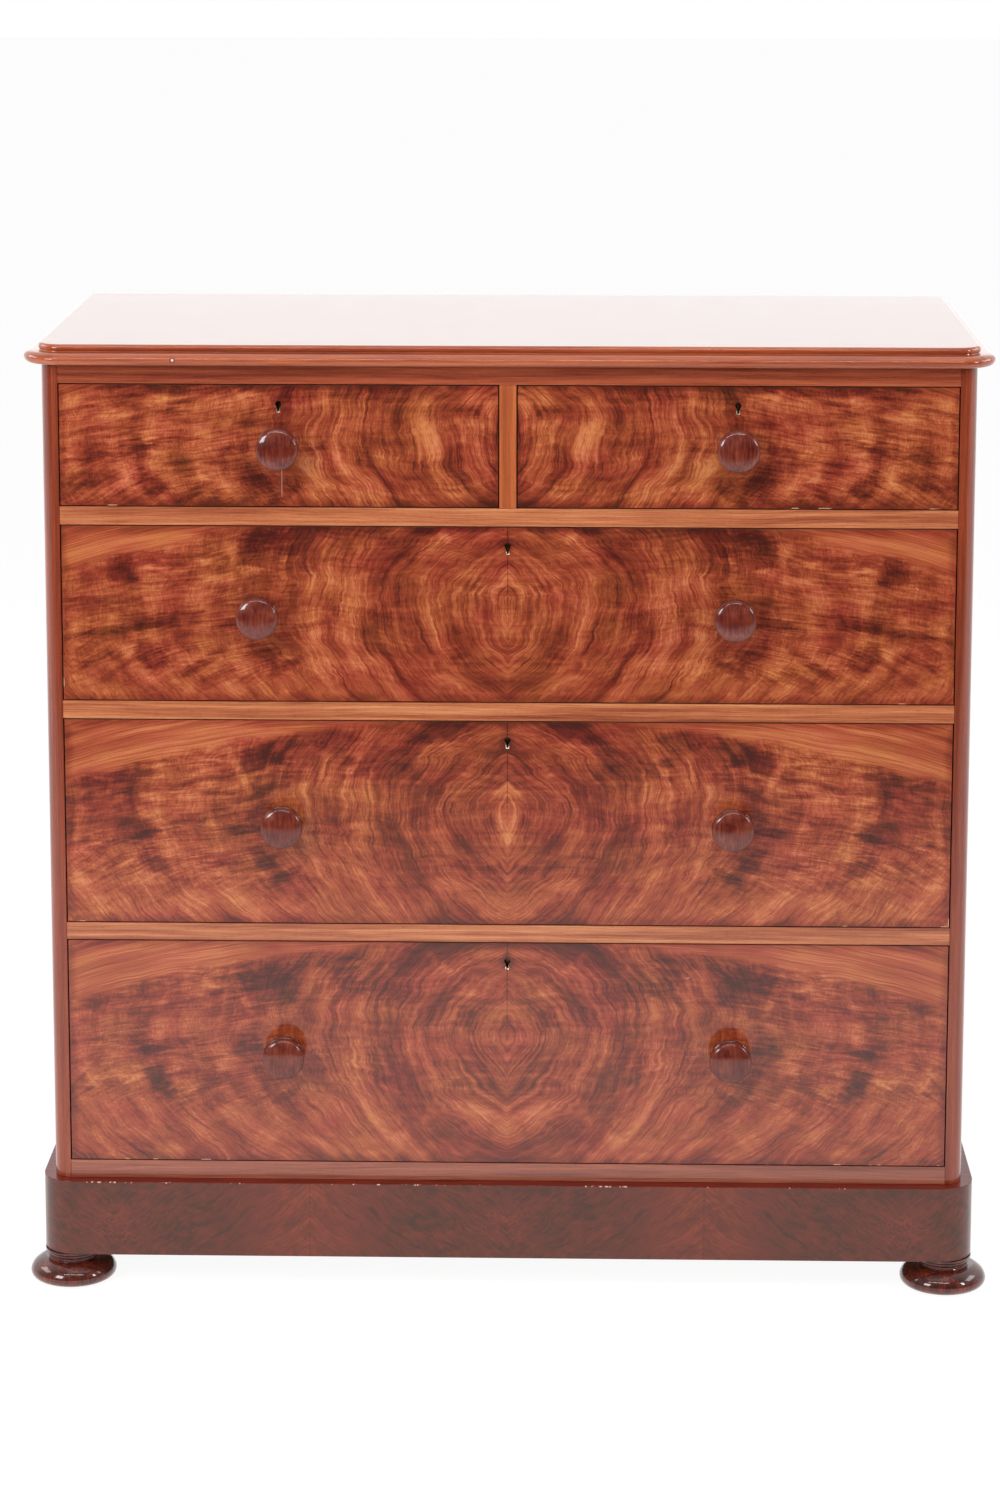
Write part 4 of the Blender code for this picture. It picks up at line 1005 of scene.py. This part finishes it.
# Lamps: name, place, what they aim at, width and height, and watts
LAMPS = (
    ("key_softbox", (-2.6, -3.1, 2.2), (0, -0.2, 0.7), (1.3, 1.3), 73),
    ("overhead_strip", (-0.2, -2.2, 3.0), (0, -0.2, 0.7), (3.0, 0.14), 30),
    ("right_softbox", (3.4, -2.0, 2.2), (0, -0.2, 0.7), (0.5, 1.1), 34),
    ("left_rim_softbox", (-3.2, 0.3, 2.4), (0, -0.1, 0.9), (2.0, 1.0), 30),
    ("right_rim_softbox", (3.2, 0.3, 2.4), (0, -0.1, 0.9), (2.0, 1.0), 30),
    ("top_softbox", (0, -0.6, 3.4), (0, 0, 0.6), (2.4, 1.6), 10),
    ("back_softbox", (0, 3.6, 2.0), (0, 0.2, 0.8), (3.6, 1.8), 10),
)

# The camera: place, angles in radians, focal length in pixels of a photograph this high, the shift
# of its lens, and the size of its sensor in millimetres
CAMERA_PLACE = (0.0923, FRONT - 4.6, 1.8176)
CAMERA_YAW = -0.02216
CAMERA_PITCH = 0.1601
CAMERA_ROLL = 0.00099
CAMERA_FOCAL = 3799.6
PHOTO_HEIGHT = 1500
CAMERA_SHIFT = -0.2
SENSOR = 36


def make_floor():
    """A plain white floor that keeps a soft shadow. The polish mirrors only the paper near the chest."""
    f = Finish("white_floor")
    bpy.ops.mesh.primitive_plane_add(size=PAPER_SIZE)
    floor = bpy.context.object
    floor.name = "studio_floor"
    camera = f.node("ShaderNodeLightPath", output="Is Camera Ray")
    glossy = f.node("ShaderNodeLightPath", output="Is Glossy Ray")
    _, y, _ = f.place()
    paper = f.smooth(y, *PAPER_MIRRORED)
    matt = f.node("ShaderNodeBsdfDiffuse", inputs={"Color": linear(*PAPER_WHITE)})
    shine = camera * PAPER_GLOW + glossy * paper * PAPER_GLOSS
    glow = f.node("ShaderNodeEmission", inputs={"Color": (1, 1, 1, 1), "Strength": shine})
    mixed = f.node("ShaderNodeMixShader", inputs=[camera * PAPER_GLOW_SHARE + glossy, matt, glow])
    f.feed(f.tree.nodes["Material Output"].inputs["Surface"], mixed)
    floor.data.materials.append(f.material)


def make_world():
    """White where it is seen, plain soft light on the chest, and a dim room before the polished front."""
    world = bpy.data.worlds.new("white_studio")
    bpy.context.scene.world = world
    world.use_nodes = True
    f = Finish.for_tree(world.node_tree)
    camera = f.node("ShaderNodeLightPath", output="Is Camera Ray")
    glossy = f.node("ShaderNodeLightPath", output="Is Glossy Ray")
    direction = f.node("ShaderNodeTexCoord", output="Generated")
    ahead = f.node("ShaderNodeSeparateXYZ", inputs=[direction], output=1)
    mirrored = f.smooth(ahead, -0.5, 0.5) * (BACKDROP_GLOSS - ROOM_GLOSS) + ROOM_GLOSS
    strength = camera + glossy * mirrored + (1 - camera) * (1 - glossy) * AMBIENT
    background = world.node_tree.nodes["Background"]
    background.inputs["Color"].default_value = (1, 1, 1, 1)
    f.feed(background.inputs["Strength"], strength)


def make_lamp(name, place, aim, size, power):
    lamp = bpy.data.lights.new(name, "AREA")
    lamp.shape = "RECTANGLE"
    lamp.size, lamp.size_y = size
    lamp.energy = power
    made = bpy.data.objects.new(name, lamp)
    made.location = place
    made.rotation_euler = (Vector(aim) - Vector(place)).to_track_quat("-Z", "Y").to_euler()
    made.visible_camera = False
    bpy.context.scene.collection.objects.link(made)


def make_camera():
    """The photograph's view: from 4.6 m, a little above the chest, with the lens dropped."""
    ahead = Vector((math.sin(CAMERA_YAW), math.cos(CAMERA_YAW), 0))
    right = Vector((math.cos(CAMERA_YAW), -math.sin(CAMERA_YAW), 0))
    look = ahead * math.cos(CAMERA_PITCH) - Vector((0, 0, math.sin(CAMERA_PITCH)))
    up = ahead * math.sin(CAMERA_PITCH) + Vector((0, 0, math.cos(CAMERA_PITCH)))
    side = right * math.cos(CAMERA_ROLL) + up * math.sin(CAMERA_ROLL)
    up = up * math.cos(CAMERA_ROLL) - right * math.sin(CAMERA_ROLL)
    camera = bpy.data.cameras.new("camera")
    camera.sensor_width = SENSOR
    camera.lens = CAMERA_FOCAL * SENSOR / PHOTO_HEIGHT
    camera.shift_y = CAMERA_SHIFT
    made = bpy.data.objects.new("camera", camera)
    turn = Matrix((side, up, -look)).transposed().to_4x4()
    made.matrix_world = Matrix.Translation(CAMERA_PLACE) @ turn
    bpy.context.scene.collection.objects.link(made)
    bpy.context.scene.camera = made


chance = random.Random(7)
make_top()
make_feet()
dress_case()
for name in DRAWERS:
    dress_drawer(name, chance)
make_back_nails(chance)
make_floor()
make_world()
for lamp in LAMPS:
    make_lamp(*lamp)
make_camera()
bpy.context.scene.view_settings.view_transform = "Standard"
